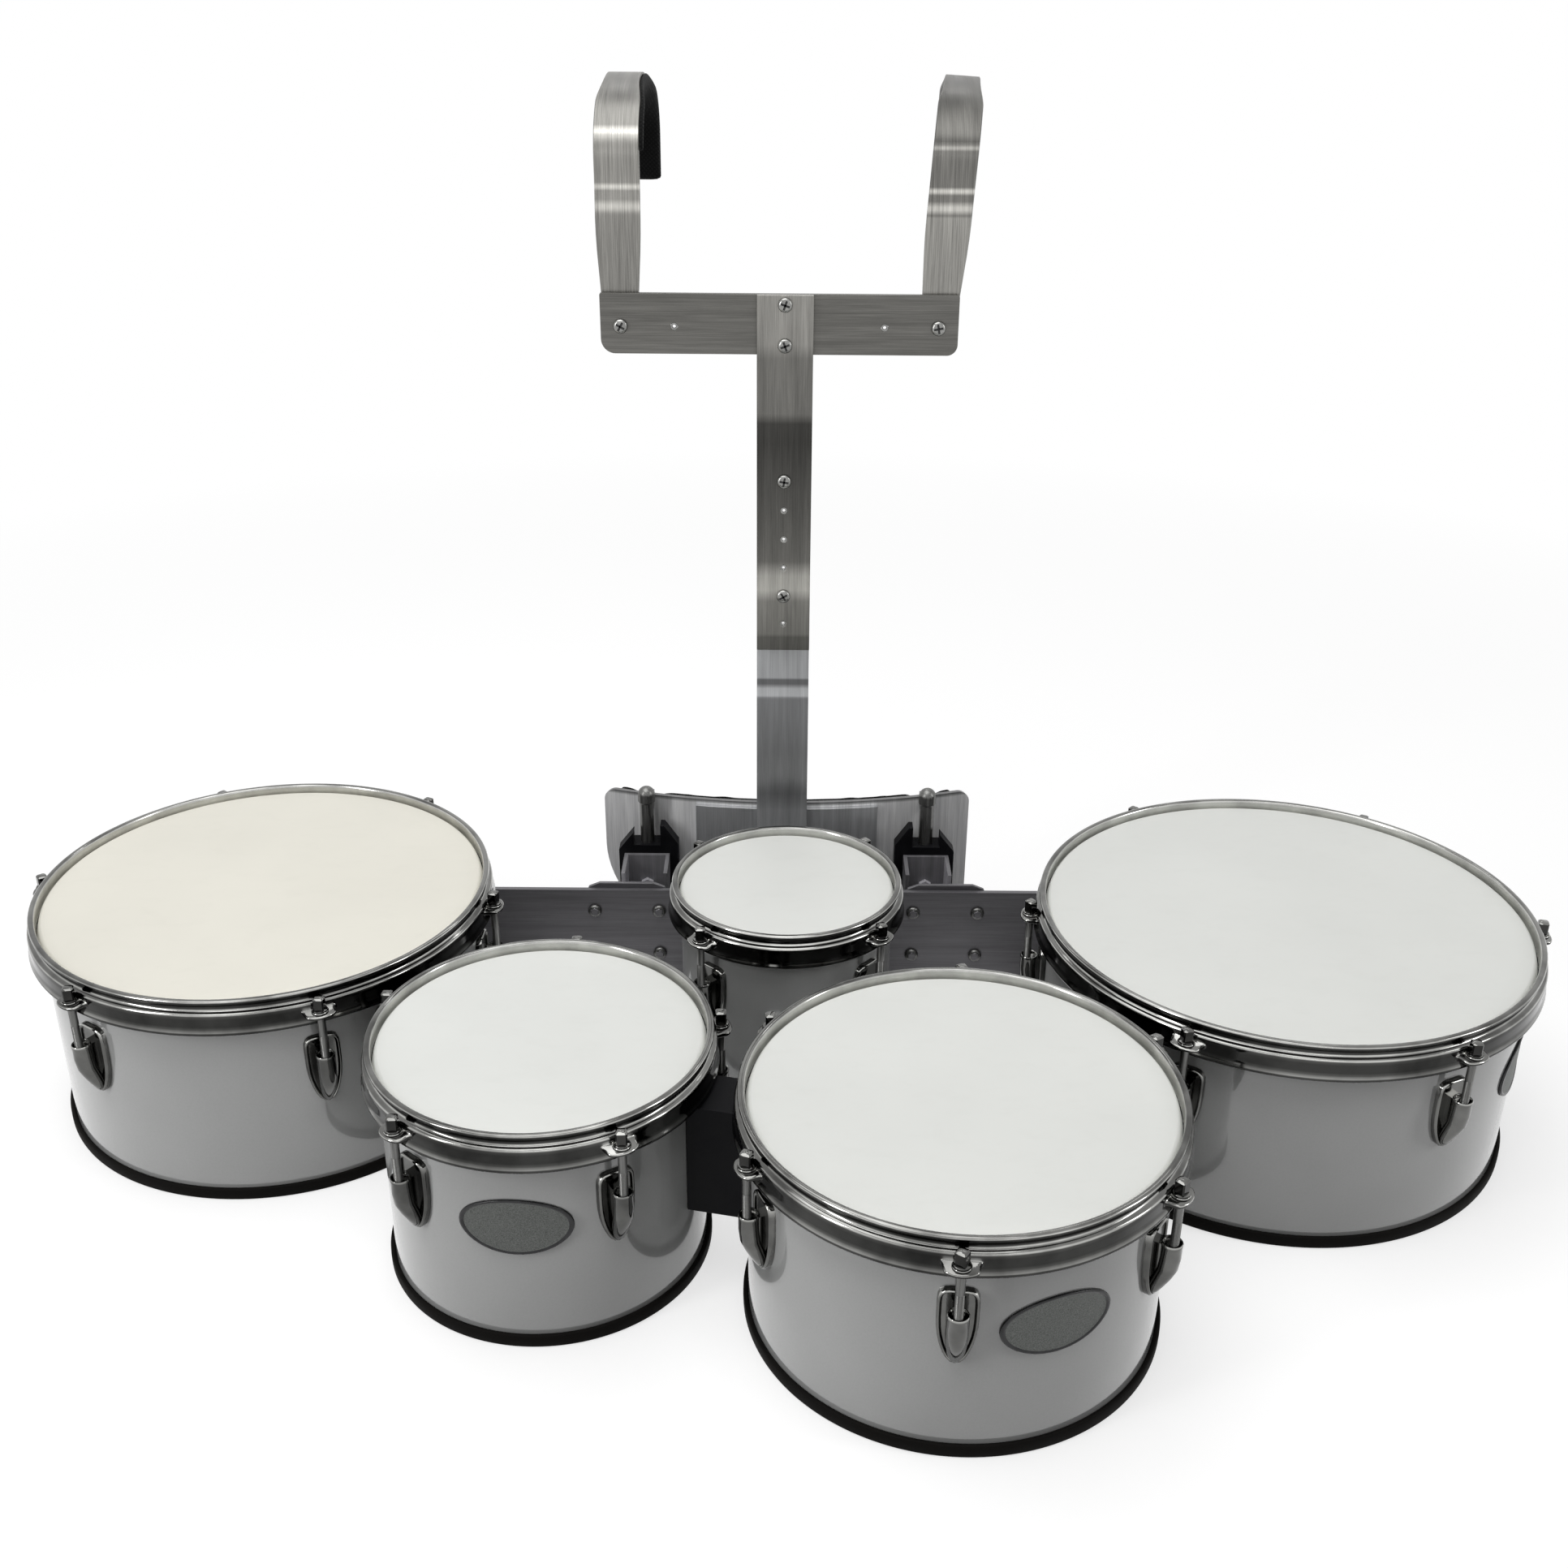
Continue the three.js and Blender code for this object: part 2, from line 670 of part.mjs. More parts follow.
const spineBackY = spineFrontY + spineThickness;
const bracketFrontY = spineBackY + clearance;
const bellyFrontY = bracketFrontY + bracketThickness + clearance;
const bendAt = (x) => bellyBendRadius - Math.sqrt(bellyBendRadius ** 2 - x ** 2);
const hangerY = bellyFrontY + bendAt(rodSpread) - hangerGap - hangerRadius;
const clampFrontY = hangerY - clampDepth / 2;
const channelBackY = clampFrontY - clearance;
const channelFrontY = channelBackY - channelDepth;
const pivotZ = headHeight - tongueDrop;
const receiverBackY = rackBack + clearance + receiverPlateThickness;
const pivotY = channelBackY - channelSheet - tongueBackGap - tongueHeight / 2;

// Receivers: a plate behind the rack, riveted through it, with a tongue for the tilt bolt

function receiver(side) {
  const centre = side * receiverSpread;
  const top = headHeight - receiverPlateTopDrop;
  const front = rackBack + clearance;
  const outline = roundedOutline(
    centre - receiverPlateWidth / 2, centre + receiverPlateWidth / 2, top - receiverPlateHeight, top,
    Array(4).fill(receiverCorner), 2,
  );
  const plate = upright(outline, front, receiverBackY);
  const half = channelWidth / 2 - channelSheet - clearance;
  const tongue = box(
    side * rodSpread - half, side * rodSpread + half,
    front, pivotY + tongueHeight / 2, pivotZ - tongueHeight / 2, pivotZ + tongueHeight / 2,
  );
  const seat = rackFront - clearance;
  const rivet = revolved([
    [0, -seat + boltHeadHeight], [boltRadius, -seat + boltHeadHeight], [boltHeadRadius, -seat],
    [boltRadius, -seat], [boltRadius, -receiverBackY], [0, -receiverBackY],
  ], boltSides).rotateX(quarterTurn);
  const ownRivets = receiverRivets.filter(([x]) => Math.sign(x) === side);
  const rivets = ownRivets.map(([x, z]) => moved(rivet, x, 0, z));
  const pivotHole = rod(pivotRadius + clearance, -half - cutOverrun, half + cutOverrun, pivotSides)
    .rotateY(quarterTurn).translate(side * rodSpread, pivotY, pivotZ);
  return cut(join(plate, tongue, ...rivets), pivotHole);
}

// Clamp channels, open towards the rack, and the clamp blocks that grip the carrier rods

function clampChannel(side) {
  const centre = side * rodSpread;
  const top = headHeight - channelTopDrop;
  const bottom = top - channelHeight;
  const boltZ = headHeight - clampBoltDrop;
  const outer = box(
    centre - channelWidth / 2, centre + channelWidth / 2, channelFrontY, channelBackY, bottom, top,
  );
  const inner = box(
    centre - channelWidth / 2 + channelSheet, centre + channelWidth / 2 - channelSheet,
    channelFrontY - cutOverrun, channelBackY - channelSheet, bottom - cutOverrun, top + cutOverrun,
  );
  const pivotHole = rod(
    pivotRadius + clearance, -channelWidth / 2 - cutOverrun, channelWidth / 2 + cutOverrun, pivotSides,
  ).rotateY(quarterTurn).translate(centre, pivotY, pivotZ);
  const web = channelBackY - channelSheet;
  const head = throughY(
    boltHeadRadius, centre, web - boltHeadHeight, channelBackY - channelSheet / 2, boltZ, boltSides,
  );
  const shank = throughY(boltRadius, centre, web, clampFrontY + clampBoltDepth, boltZ, boltSides);
  return join(cut(outer, inner, pivotHole), head, shank);
}

// The block widens into two ears, and the upper bracket of the carrier rod slides down between them
function clampBlock(side) {
  const centre = side * rodSpread;
  const middle = headHeight - clampBoltDrop;
  const low = middle - clampHeight / 2;
  const notchFloor = headHeight - clampNotchDrop;
  const body = box(
    centre - channelWidth / 2 + channelSheet, centre + channelWidth / 2 - channelSheet,
    clampFrontY, clampFrontY + clampDepth, low, notchFloor,
  );
  const wings = upright([
    [clampOuterReach, low], [clampOuterReach, headHeight - clampOuterShoulderDrop],
    [clampNotch, headHeight - clampOuterTopDrop], [clampNotch, notchFloor], [-clampNotch, notchFloor],
    [-clampNotch, headHeight - clampInnerTopDrop], [-clampInnerTop, headHeight - clampInnerTopDrop],
    [-clampInnerReach, headHeight - clampInnerShoulderDrop], [-clampInnerReach, low],
  ].map(([outward, z]) => [centre + side * outward, z]), clampFrontY, clampFrontY + clampWingDepth);
  const bore = moved(
    rod(hangerRadius + clearance, low - cutOverrun, notchFloor + cutOverrun, boltSides), centre, hangerY, 0,
  );
  const boltHole = throughY(
    boltRadius + clearance, centre,
    clampFrontY - cutOverrun, clampFrontY + clampBoltDepth + clearance, middle, boltSides,
  );
  return cut(join(body, wings), bore, boltHole);
}

// The bolt that a clamp tilts on
function pivotBolt(side) {
  const flank = channelWidth / 2 + clearance;
  return revolved([
    [0, -flank - pivotHeadHeight], [pivotHeadRadius, -flank - pivotHeadHeight], [pivotHeadRadius, -flank],
    [pivotRadius, -flank], [pivotRadius, flank], [pivotHeadRadius, flank],
    [pivotHeadRadius, flank + pivotHeadHeight], [0, flank + pivotHeadHeight],
  ], pivotSides).rotateY(quarterTurn).translate(side * rodSpread, pivotY, pivotZ);
}

// Carrier rods: each has a domed cap and a bracket that hooks over the belly plate

const bellyTop = headHeight - bellyTopDrop;
const bellyBottom = bellyTop - bellyHeight;
const hangerTop = headHeight + hangerRise;
const hangerBottom = bellyBottom + hangerFootRise;
const hangerSeat = bellyFrontY + bendAt(rodSpread);

// A block that reaches from in front of a carrier rod back to the belly plate
function hangerBlock(side, low, high) {
  const centre = side * rodSpread;
  return box(
    centre - hangerBracketWidth / 2, centre + hangerBracketWidth / 2,
    hangerY - hangerRadius - hangerWall, hangerSeat + hangerGap, low, high,
  );
}

const bellyRoom = (radius, low, high) =>
  moved(rod(radius, low, high, bendSides), 0, bellyFrontY + bellyBendRadius, 0);

function hangerRod(side) {
  const dome = hangerRadius * domeShare;
  const centre = side * rodSpread;
  const bar = revolved([
    [0, hangerBottom], [hangerRadius, hangerBottom], [hangerRadius, hangerTop - 2 * dome],
    ...domeShares.map(([across, down]) => [across * dome, hangerTop - down * dome]), [0, hangerTop],
  ], boltSides);
  const high = bellyTop + clearance + hangerHookHeight;
  const low = high - hangerHookHeight - hangerBracketHeight;
  const block = cut(
    hangerBlock(side, low, high),
    bellyRoom(bellyBendRadius + clearance, low - cutOverrun, high + cutOverrun),
  );
  const hook = box(
    centre - hangerHookWidth / 2, centre + hangerHookWidth / 2, hangerY, hangerSeat + bellyThickness,
    bellyTop + clearance, high,
  );
  return join(moved(bar, centre, hangerY, 0), block, hook);
}

// Belly plate, bent to a large radius round the player, with a foam pad behind it

const bellySteps = 10;

function bentSheet(outline, front, thickness) {
  const zs = outline.map(([, z]) => z);
  const [low, high] = [Math.min(...zs) - cutOverrun, Math.max(...zs) + cutOverrun];
  const limit = bellyWidth / 2 + cutOverrun;
  const arc = (radius) => Array.from({ length: bellySteps + 1 }, (_, step) => {
    const angle = Math.asin(limit / bellyBendRadius) * ((2 * step) / bellySteps - 1);
    return [radius * Math.sin(angle), bellyFrontY + bellyBendRadius - radius * Math.cos(angle)];
  });
  const outer = bellyBendRadius - (front - bellyFrontY);
  const band = raised([...arc(outer), ...arc(outer - thickness).reverse()], low, high);
  const back = front + thickness + bendAt(limit) + cutOverrun;
  return common(band, upright(outline, front - cutOverrun, back));
}

function bellyPlate() {
  const outline = roundedOutline(
    -bellyWidth / 2, bellyWidth / 2, bellyBottom, bellyTop,
    [bellyLowCornerLeft, bellyLowCornerRight, bellyCorner, bellyCorner], 4,
  );
  const holes = bellyScrewHeights.map((z) => throughY(
    spineScrewRadius + clearance, spineOffset,
    spineFrontY, bellyFrontY + bellyThickness + cutOverrun, z, rodSides,
  ));
  const low = hangerBottom;
  const high = low + hangerBracketHeight;
  const brackets = [-1, 1].map((side) => cut(
    hangerBlock(side, low, high),
    bellyRoom(bellyBendRadius - bellyThickness / 2, low - cutOverrun, high + cutOverrun),
    moved(
      rod(hangerRadius + clearance, low - cutOverrun, high + cutOverrun, boltSides),
      side * rodSpread, hangerY, 0,
    ),
  ));
  return join(cut(bentSheet(outline, bellyFrontY, bellyThickness), ...holes), ...brackets);
}

// An outline with points added along its long sides
function divided(outline, spacing) {
  return outline.flatMap(([x, z], index) => {
    const [nextX, nextZ] = outline[(index + 1) % outline.length];
    const count = Math.max(1, Math.round(Math.hypot(nextX - x, nextZ - z) / spacing));
    return Array.from({ length: count }, (_, step) =>
      [x + ((nextX - x) * step) / count, z + ((nextZ - z) * step) / count]);
  });
}

// The pad follows the bend of the plate: its back is crowned, and its sides draw in between the corners
function bellyPad() {
  const [halfWidth, low, high] = [bellyWidth / 2 - padInset, bellyBottom + padInset, bellyTop];
  const [middleZ, halfHeight] = [(low + high) / 2, (high - low) / 2];
  const corners = roundedOutline(
    -halfWidth, halfWidth, low, high, [bellyLowCornerLeft, bellyLowCornerRight, bellyCorner, bellyCorner], 4,
  );
  const outline = divided(corners, padSpacing).map(([x, z]) => {
    const [across, up] = [x / halfWidth, (z - middleZ) / halfHeight];
    return [x - across * padDraw * (1 - up ** 2), z - up * padDraw * (1 - across ** 2)];
  });
  const seat = bellyBendRadius - bellyThickness - 2 * clearance;
  const rings = [...padSeatShares.map((share) => [share, 0]), ...padCrownShares].map(([share, rise]) =>
    outline.map(([x, z]) => {
      const angle = Math.asin((x * share) / seat);
      const radius = seat - rise * padThickness;
      return new THREE.Vector3(
        radius * Math.sin(angle), bellyFrontY + bellyBendRadius - radius * Math.cos(angle),
        middleZ + (z - middleZ) * share,
      );
    }));
  const plateBack = bellyFrontY + bellyThickness;
  const pockets = bellyScrewHeights.map((z) => throughY(
    spineScrewHead + clearance, spineOffset,
    plateBack - cutOverrun, plateBack + 2 * clearance + spineScrewHeadHeight, z, rodSides,
  ));
  return cut(lofted(rings), ...pockets);
}

// Spine: a lower bar with its bracket sheet on the belly plate, and an upper bar that slides on it

const bracketTop = headHeight - bracketTopDrop;
const bellyScrewHeights = [bracketTop - bracketHeight / 4, bracketTop - (bracketHeight * 3) / 4];

function spineBracket() {
  const half = rodSpread - bracketRodGap;
  const outline = roundedOutline(
    -half, half, bracketTop - bracketHeight, bracketTop,
    [bellyCorner, bellyCorner, clearance, clearance], 2,
  );
  return bentSheet(outline, bracketFrontY - 2 * clearance, bracketThickness + 2 * clearance);
}

// A screw through the lower bar, its bracket sheet and the belly plate
function bellyScrew(z) {
  const seat = spineFrontY - clearance;
  const back = bellyFrontY + bellyThickness + clearance;
  return revolved([
    [0, -seat + spineScrewHeadHeight], [spineScrewHead, -seat + spineScrewHeadHeight],
    [spineScrewHead, -seat], [spineScrewRadius, -seat], [spineScrewRadius, -back],
    [spineScrewHead, -back], [spineScrewHead, -back - spineScrewHeadHeight],
    [0, -back - spineScrewHeadHeight],
  ], rodSides).rotateX(quarterTurn).translate(spineOffset, 0, z);
}

const upperBarBack = spineBackY;
const rearBarFront = upperBarBack + clearance;
const rearBarBack = rearBarFront + spineThickness;
const hookZ = headHeight + hookBoltRise;
const spineHoleZ = Array.from({ length: spineHoleCount },
  (_, index) => hookZ - spineTopHoleDrop - index * spineHolePitch);
const heightScrewZ = spineScrewHoles.map((index) => spineHoleZ[index]);
const upperSpineTop = hookZ + crossbarTopEdge;
const upperSpineBottom = Math.min(...spineHoleZ) - spineEndEdge;

function lowerSpine() {
  const low = headHeight - lowerSpineBottomDrop;
  const bend = upperSpineBottom - joggleGap - joggleHeight;
  const top = hookZ - lowerSpineTopDrop;
  const shift = rearBarFront - spineFrontY;
  const side = [
    [spineFrontY, low], [spineBackY, low], [spineBackY, bend], [spineBackY + shift, bend + joggleHeight],
    [spineBackY + shift, top], [spineFrontY + shift, top], [spineFrontY + shift, bend + joggleHeight],
    [spineFrontY, bend],
  ];
  const bar = raised(side, spineOffset - spineWidth / 2, spineOffset + spineWidth / 2)
    .applyMatrix4(new THREE.Matrix4().makeBasis(
      new THREE.Vector3(0, 1, 0), new THREE.Vector3(0, 0, 1), new THREE.Vector3(1, 0, 0),
    ));
  const slot = box(
    spineOffset - spineScrewRadius - clearance, spineOffset + spineScrewRadius + clearance,
    rearBarFront - cutOverrun, rearBarBack + cutOverrun,
    Math.min(...heightScrewZ) - spineTravelDown - spineScrewRadius - clearance,
    Math.max(...heightScrewZ) + spineTravelUp + spineScrewRadius + clearance,
  );
  const holes = bellyScrewHeights.map((z) => throughY(
    spineScrewRadius + clearance, spineOffset,
    spineFrontY - cutOverrun, bellyFrontY + cutOverrun, z, rodSides,
  ));
  return cut(join(closed(bar), spineBracket()), slot, ...holes);
}

const crossbarScrewZ = crossbarScrewRises.map((rise) => hookZ + rise);

function upperSpine() {
  const plate = box(
    spineOffset - spineWidth / 2, spineOffset + spineWidth / 2, spineFrontY, upperBarBack,
    upperSpineBottom, upperSpineTop,
  );
  const holes = [...spineHoleZ, ...crossbarScrewZ].map((z) => throughY(
    spineHoleRadius, spineOffset, spineFrontY - cutOverrun, upperBarBack + cutOverrun, z, boltSides,
  ));
  return cut(plate, ...holes);
}

function crossbar() {
  const reach = hookSpread + crossbarEndEdge;
  const outline = roundedOutline(
    crossbarOffset - reach, crossbarOffset + reach, upperSpineTop - crossbarHeight, upperSpineTop,
    [crossbarCorner, crossbarCorner, bearingEdge, bearingEdge], 3,
  );
  const plate = upright(outline, rearBarFront, rearBarBack);
  const pierce = (radius, x, z, count) =>
    throughY(radius, x, rearBarFront - cutOverrun, rearBarBack + cutOverrun, z, count);
  return cut(
    plate,
    ...crossbarScrewZ.map((z) => pierce(spineHoleRadius, spineOffset, z, boltSides)),
    ...[-1, 1].flatMap((side) => [
      pierce(swivelBoltRadius + clearance, crossbarOffset + side * hookSpread, hookZ, pivotSides),
      pierce(spineHoleRadius, crossbarOffset + side * spareHoleSpread, hookZ, boltSides),
    ]),
  );
}

// A screw through the upper bar: it rides in the slot of the lower bar, or holds the crossbar
function spineScrew(z) {
  const front = spineFrontY - clearance;
  const back = rearBarBack + clearance;
  return revolved([
    [0, -front + spineScrewHeadHeight], [spineScrewHead, -front + spineScrewHeadHeight],
    [spineScrewHead, -front], [spineScrewRadius, -front], [spineScrewRadius, -back],
    [spineScrewHead, -back], [spineScrewHead, -back - spineScrewHeadHeight],
    [0, -back - spineScrewHeadHeight],
  ], boltSides).rotateX(quarterTurn).translate(spineOffset, 0, z);
}

// Shoulder hooks: flat bars bent over the shoulder, each on one bolt

const hookFront = rearBarBack + clearance;

const hookBend = hookShankHeight;
const hookKink = hookBend + hookKinkHeight;
const hookNeck = hookKink + hookNeckHeight;

// Middle line of a hook bar seen from the side, as [back from its foot, height above its bolt]
function hookLine() {
  const half = hookReach / 2;
  const rise = hookArchHeight - hookThickness / 2;
  const foot = [[0, -hookFootEdge], [0, hookBend], [hookKinkBack, hookKink]];
  const arch = Array.from({ length: hookArchSteps + 1 }, (_, step) => {
    const angle = Math.PI * (1 - step / hookArchSteps);
    return [hookKinkBack + half + half * Math.cos(angle), hookNeck + rise * Math.sin(angle)];
  });
  return [...foot, ...arch, [hookKinkBack + hookReach, hookNeck - hookTailDrop]];
}

// Offsets a polyline sideways, with mitred corners
function beside(line, offset) {
  return line.map((point, index) => {
    const before = line[Math.max(index - 1, 0)];
    const after = line[Math.min(index + 1, line.length - 1)];
    const into = new THREE.Vector2(point[0] - before[0], point[1] - before[1]).normalize();
    const out = new THREE.Vector2(after[0] - point[0], after[1] - point[1]).normalize();
    if (index === 0) into.copy(out);
    if (index === line.length - 1) out.copy(into);
    const normal = new THREE.Vector2(-into.y - out.y, into.x + out.x).normalize();
    const stretch = 1 / Math.max(normal.dot(new THREE.Vector2(-into.y, into.x)), 0.5);
    return [point[0] + normal.x * offset * stretch, point[1] + normal.y * offset * stretch];
  });
}

// A bar of the given width whose side view is the given outline, sheared sideways by the splay
function sideways(outline, width, splay) {
  const bar = raised(outline, -width / 2, width / 2).applyMatrix4(new THREE.Matrix4().makeBasis(
    new THREE.Vector3(Math.tan(splay), 1, 0), new THREE.Vector3(0, 0, 1), new THREE.Vector3(1, 0, 0),
  ));
  return closed(bar);
}

function hookBar(splay) {
  const line = hookLine();
  const outline = [...beside(line, hookThickness / 2), ...beside(line, -hookThickness / 2).reverse()];
  const bar = sideways(outline, hookWidth, splay);
  const narrow = (side) => {
    const inside = side * (hookFootWidth / 2);
    const outside = side * (hookWidth / 2 + cutOverrun);
    const points = [
      [inside, -hookFootEdge - cutOverrun], [outside, -hookFootEdge - cutOverrun],
      [outside, hookBend], [side * (hookWidth / 2), hookBend], [inside, 0],
    ];
    return upright(points, -hookWidth, hookThickness + cutOverrun);
  };
  const hole = throughY(
    swivelBoltRadius + clearance, 0,
    -hookThickness - cutOverrun, hookThickness + cutOverrun, 0, pivotSides,
  );
  return cut(bar, narrow(-1), narrow(1), hole);
}

// A line with a point added close to each of its ends
function endsRounded(line, distance) {
  const between = ([x0, z0], [x1, z1]) => {
    const share = distance / Math.hypot(x1 - x0, z1 - z0);
    return [x0 + (x1 - x0) * share, z0 + (z1 - z0) * share];
  };
  const [first, last] = [line[0], line[line.length - 1]];
  return [first, between(first, line[1]), ...line.slice(1, -1), between(last, line[line.length - 2]), last];
}

// The pad lines the inside of the hook from its front bend to its tail: its inner face is crowned,
// its ends are rounded, and its sides draw in between them
function hookPad(splay) {
  const lined = hookLine().filter(([back, rise]) =>
    rise >= hookNeck + hookPadStartRise || back > hookKinkBack + hookReach / 2);
  const line = endsRounded(lined, hookPadThickness / 2);
  const seat = beside(line, -hookThickness / 2 - clearance);
  const crest = beside(line, -hookThickness / 2 - clearance - hookPadThickness);
  const rings = line.map((_, station) => {
    const along = station / (line.length - 1);
    const fromEnd = Math.min(station, line.length - 1 - station, hookPadEndShares.length - 1);
    const draw = 1 - hookPadDraw * Math.sin(Math.PI * along);
    return hookPadSectionShares.map(([across, rise]) => {
      const height = rise * hookPadEndShares[fromEnd];
      const [back, up] = [0, 1].map((axis) =>
        seat[station][axis] + (crest[station][axis] - seat[station][axis]) * height);
      const x = (across * draw * hookPadWidth) / 2;
      return new THREE.Vector3(x + back * Math.tan(splay), back, up);
    });
  });
  return lofted(rings);
}

function hookBolt() {
  const front = rearBarFront - clearance - hookFront - hookThickness / 2;
  const back = hookThickness / 2 + clearance;
  return revolved([
    [0, -front + swivelHeadHeight], [swivelHeadRadius, -front + swivelHeadHeight],
    [swivelHeadRadius, -front], [swivelBoltRadius, -front], [swivelBoltRadius, -back],
    [swivelHeadRadius, -back], [swivelHeadRadius, -back - swivelHeadHeight], [0, -back - swivelHeadHeight],
  ], pivotSides).rotateX(quarterTurn);
}

// Assembly

function piece(group, name, geometry, look) {
  const { color, roughness, metalness } = finishes[look];
  const mesh = new THREE.Mesh(geometry, new THREE.MeshStandardMaterial({ color, roughness, metalness }));
  mesh.name = name;
  group.add(mesh);
}

function drumGroup(drum) {
  const group = new THREE.Group();
  group.position.set(drum.place.x, drum.place.y, 0);
  piece(group, `${drum.name}_shell_and_lugs`, shellOf(drum), 'shell');
  piece(group, `${drum.name}_head`, headOf(drum), drum === drum12 ? 'creamHead' : 'head');
  piece(group, `${drum.name}_hoop_and_rods`, hoopOf(drum), 'chrome');
  piece(group, `${drum.name}_bottom_trim`, bottomTrimOf(drum), 'rubber');
  if (drum.badge) piece(group, `${drum.name}_badge`, badgeOf(drum), 'badge');
  return group;
}

const sides = [['left', -1], ['right', 1]];

function rackGroup() {
  const group = new THREE.Group();
  for (const drum of drums) group.add(drumGroup(drum));
  piece(group, 'rack_plate', rackPlate(), 'plate');
  for (const fixing of rackFixings) {
    piece(group, `rack_bolt_${fixing.drum.name.slice(5)}`, rackBolt(fixing), 'steel');
  }
  for (const [name, side] of sides) piece(group, `receiver_${name}`, receiver(side), 'plate');
  for (const [name, { body, bolt }] of Object.entries(spacers)) {
    piece(group, `spacer_${name}`, body, 'clamp');
    piece(group, `spacer_bolt_${name}`, bolt, 'steel');
  }
  return group;
}

function clampGroup() {
  const group = new THREE.Group();
  for (const [name, side] of sides) {
    piece(group, `clamp_channel_${name}`, clampChannel(side), 'plate');
    piece(group, `clamp_block_${name}`, clampBlock(side), 'clamp');
    piece(group, `tilt_bolt_${name}`, pivotBolt(side), 'steel');
  }
  return group;
}

function bellyGroup() {
  const group = new THREE.Group();
  for (const [name, side] of sides) piece(group, `carrier_rod_${name}`, hangerRod(side), 'steel');
  piece(group, 'belly_plate', bellyPlate(), 'plate');
  piece(group, 'belly_pad', bellyPad(), 'foam');
  piece(group, 'lower_spine', lowerSpine(), 'aluminium');
  bellyScrewHeights.forEach((z, index) => piece(group, `belly_screw_${index + 1}`, bellyScrew(z), 'steel'));
  return group;
}

function shoulderGroup(name, side, lean, splay) {
  const group = new THREE.Group();
  group.position.set(crossbarOffset + side * hookSpread, hookFront + hookThickness / 2, hookZ);
  group.rotation.y = radians(lean);
  piece(group, `${name}_shoulder_bar`, hookBar(radians(splay)), 'aluminium');
  piece(group, `${name}_shoulder_pad`, hookPad(radians(splay)), 'foam');
  piece(group, `${name}_shoulder_bolt`, hookBolt(), 'steel');
  return group;
}

function shouldersGroup() {
  const group = new THREE.Group();
  piece(group, 'upper_spine', upperSpine(), 'aluminium');
  piece(group, 'shoulder_crossbar', crossbar(), 'aluminium');
  heightScrewZ.forEach((z, index) => piece(group, `height_screw_${index + 1}`, spineScrew(z), 'steel'));
  crossbarScrewZ.forEach((z, index) => piece(group, `crossbar_screw_${index + 1}`, spineScrew(z), 'steel'));
  group.add(shoulderGroup('left', -1, 0, 0));
  group.add(shoulderGroup('right', 1, rightHookLeanAngle, rightHookSplayAngle));
  return group;
}

const tenorDrums = new THREE.Group();
tenorDrums.add(rackGroup(), clampGroup(), bellyGroup(), shouldersGroup());

// The origin is at the middle of the floor under the whole object
tenorDrums.updateMatrixWorld(true);
const extent = new THREE.Box3().setFromObject(tenorDrums, true);
const middle = extent.getCenter(new THREE.Vector3());
tenorDrums.position.set(-middle.x, -middle.y, -extent.min.z);
tenorDrums.updateMatrixWorld(true);

export default tenorDrums;
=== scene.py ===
"""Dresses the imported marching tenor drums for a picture: shells, heads, hoops, lugs, rack, carrier and stage."""

import json
import math

import bmesh
import bpy
from bpy.props import FloatProperty, FloatVectorProperty, IntProperty, PointerProperty
from mathutils import Matrix, Vector

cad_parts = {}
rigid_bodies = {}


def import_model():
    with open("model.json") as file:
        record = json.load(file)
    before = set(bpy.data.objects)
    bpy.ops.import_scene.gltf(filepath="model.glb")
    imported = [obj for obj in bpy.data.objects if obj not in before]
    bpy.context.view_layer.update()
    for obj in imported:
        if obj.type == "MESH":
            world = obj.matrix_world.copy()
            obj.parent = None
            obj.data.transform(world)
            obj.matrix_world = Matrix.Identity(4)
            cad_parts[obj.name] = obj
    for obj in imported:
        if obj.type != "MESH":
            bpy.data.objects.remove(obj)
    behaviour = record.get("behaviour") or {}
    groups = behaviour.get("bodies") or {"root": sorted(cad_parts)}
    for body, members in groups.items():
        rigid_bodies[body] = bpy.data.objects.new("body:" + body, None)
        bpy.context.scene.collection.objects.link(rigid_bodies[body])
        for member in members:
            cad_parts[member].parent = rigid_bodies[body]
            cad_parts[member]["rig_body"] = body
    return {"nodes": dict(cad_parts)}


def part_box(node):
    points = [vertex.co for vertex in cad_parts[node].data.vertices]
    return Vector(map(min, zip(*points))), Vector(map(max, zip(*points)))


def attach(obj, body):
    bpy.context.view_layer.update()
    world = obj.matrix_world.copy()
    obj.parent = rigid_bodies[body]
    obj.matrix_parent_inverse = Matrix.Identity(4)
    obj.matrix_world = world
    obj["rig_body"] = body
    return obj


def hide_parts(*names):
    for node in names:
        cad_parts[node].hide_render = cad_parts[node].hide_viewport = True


bl_info = {
    "name": "Marching Tenor Drums",
    "version": (1, 0, 0),
    "blender": (4, 5, 0),
    "location": "3D View > Sidebar > Tenor Drums",
    "description": "Builds a set of marching tenor drums on their rack and shoulder carrier",
    "category": "Object",
}

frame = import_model()

MM = 0.001  # a millimetre, in metres
HEAD = 0.156  # height of the heads above the floor
SIDES = (("left", -1), ("right", 1))  # and the sign of X there
WHITE = (1.0, 1.0, 1.0)

# Name, head diameter, lugs, angle of the first lug, angle of the badge, in metres and degrees
DRUMS = (
    ("drum_6", 0.1524, 4, -132.0, None),
    ("drum_8", 0.2032, 5, -131.0, -93.0),
    ("drum_10", 0.2540, 6, -155.0, -69.0),
    ("drum_12", 0.3048, 6, -123.3, None),
    ("drum_13", 0.3302, 6, -123.9, -30.6),
)

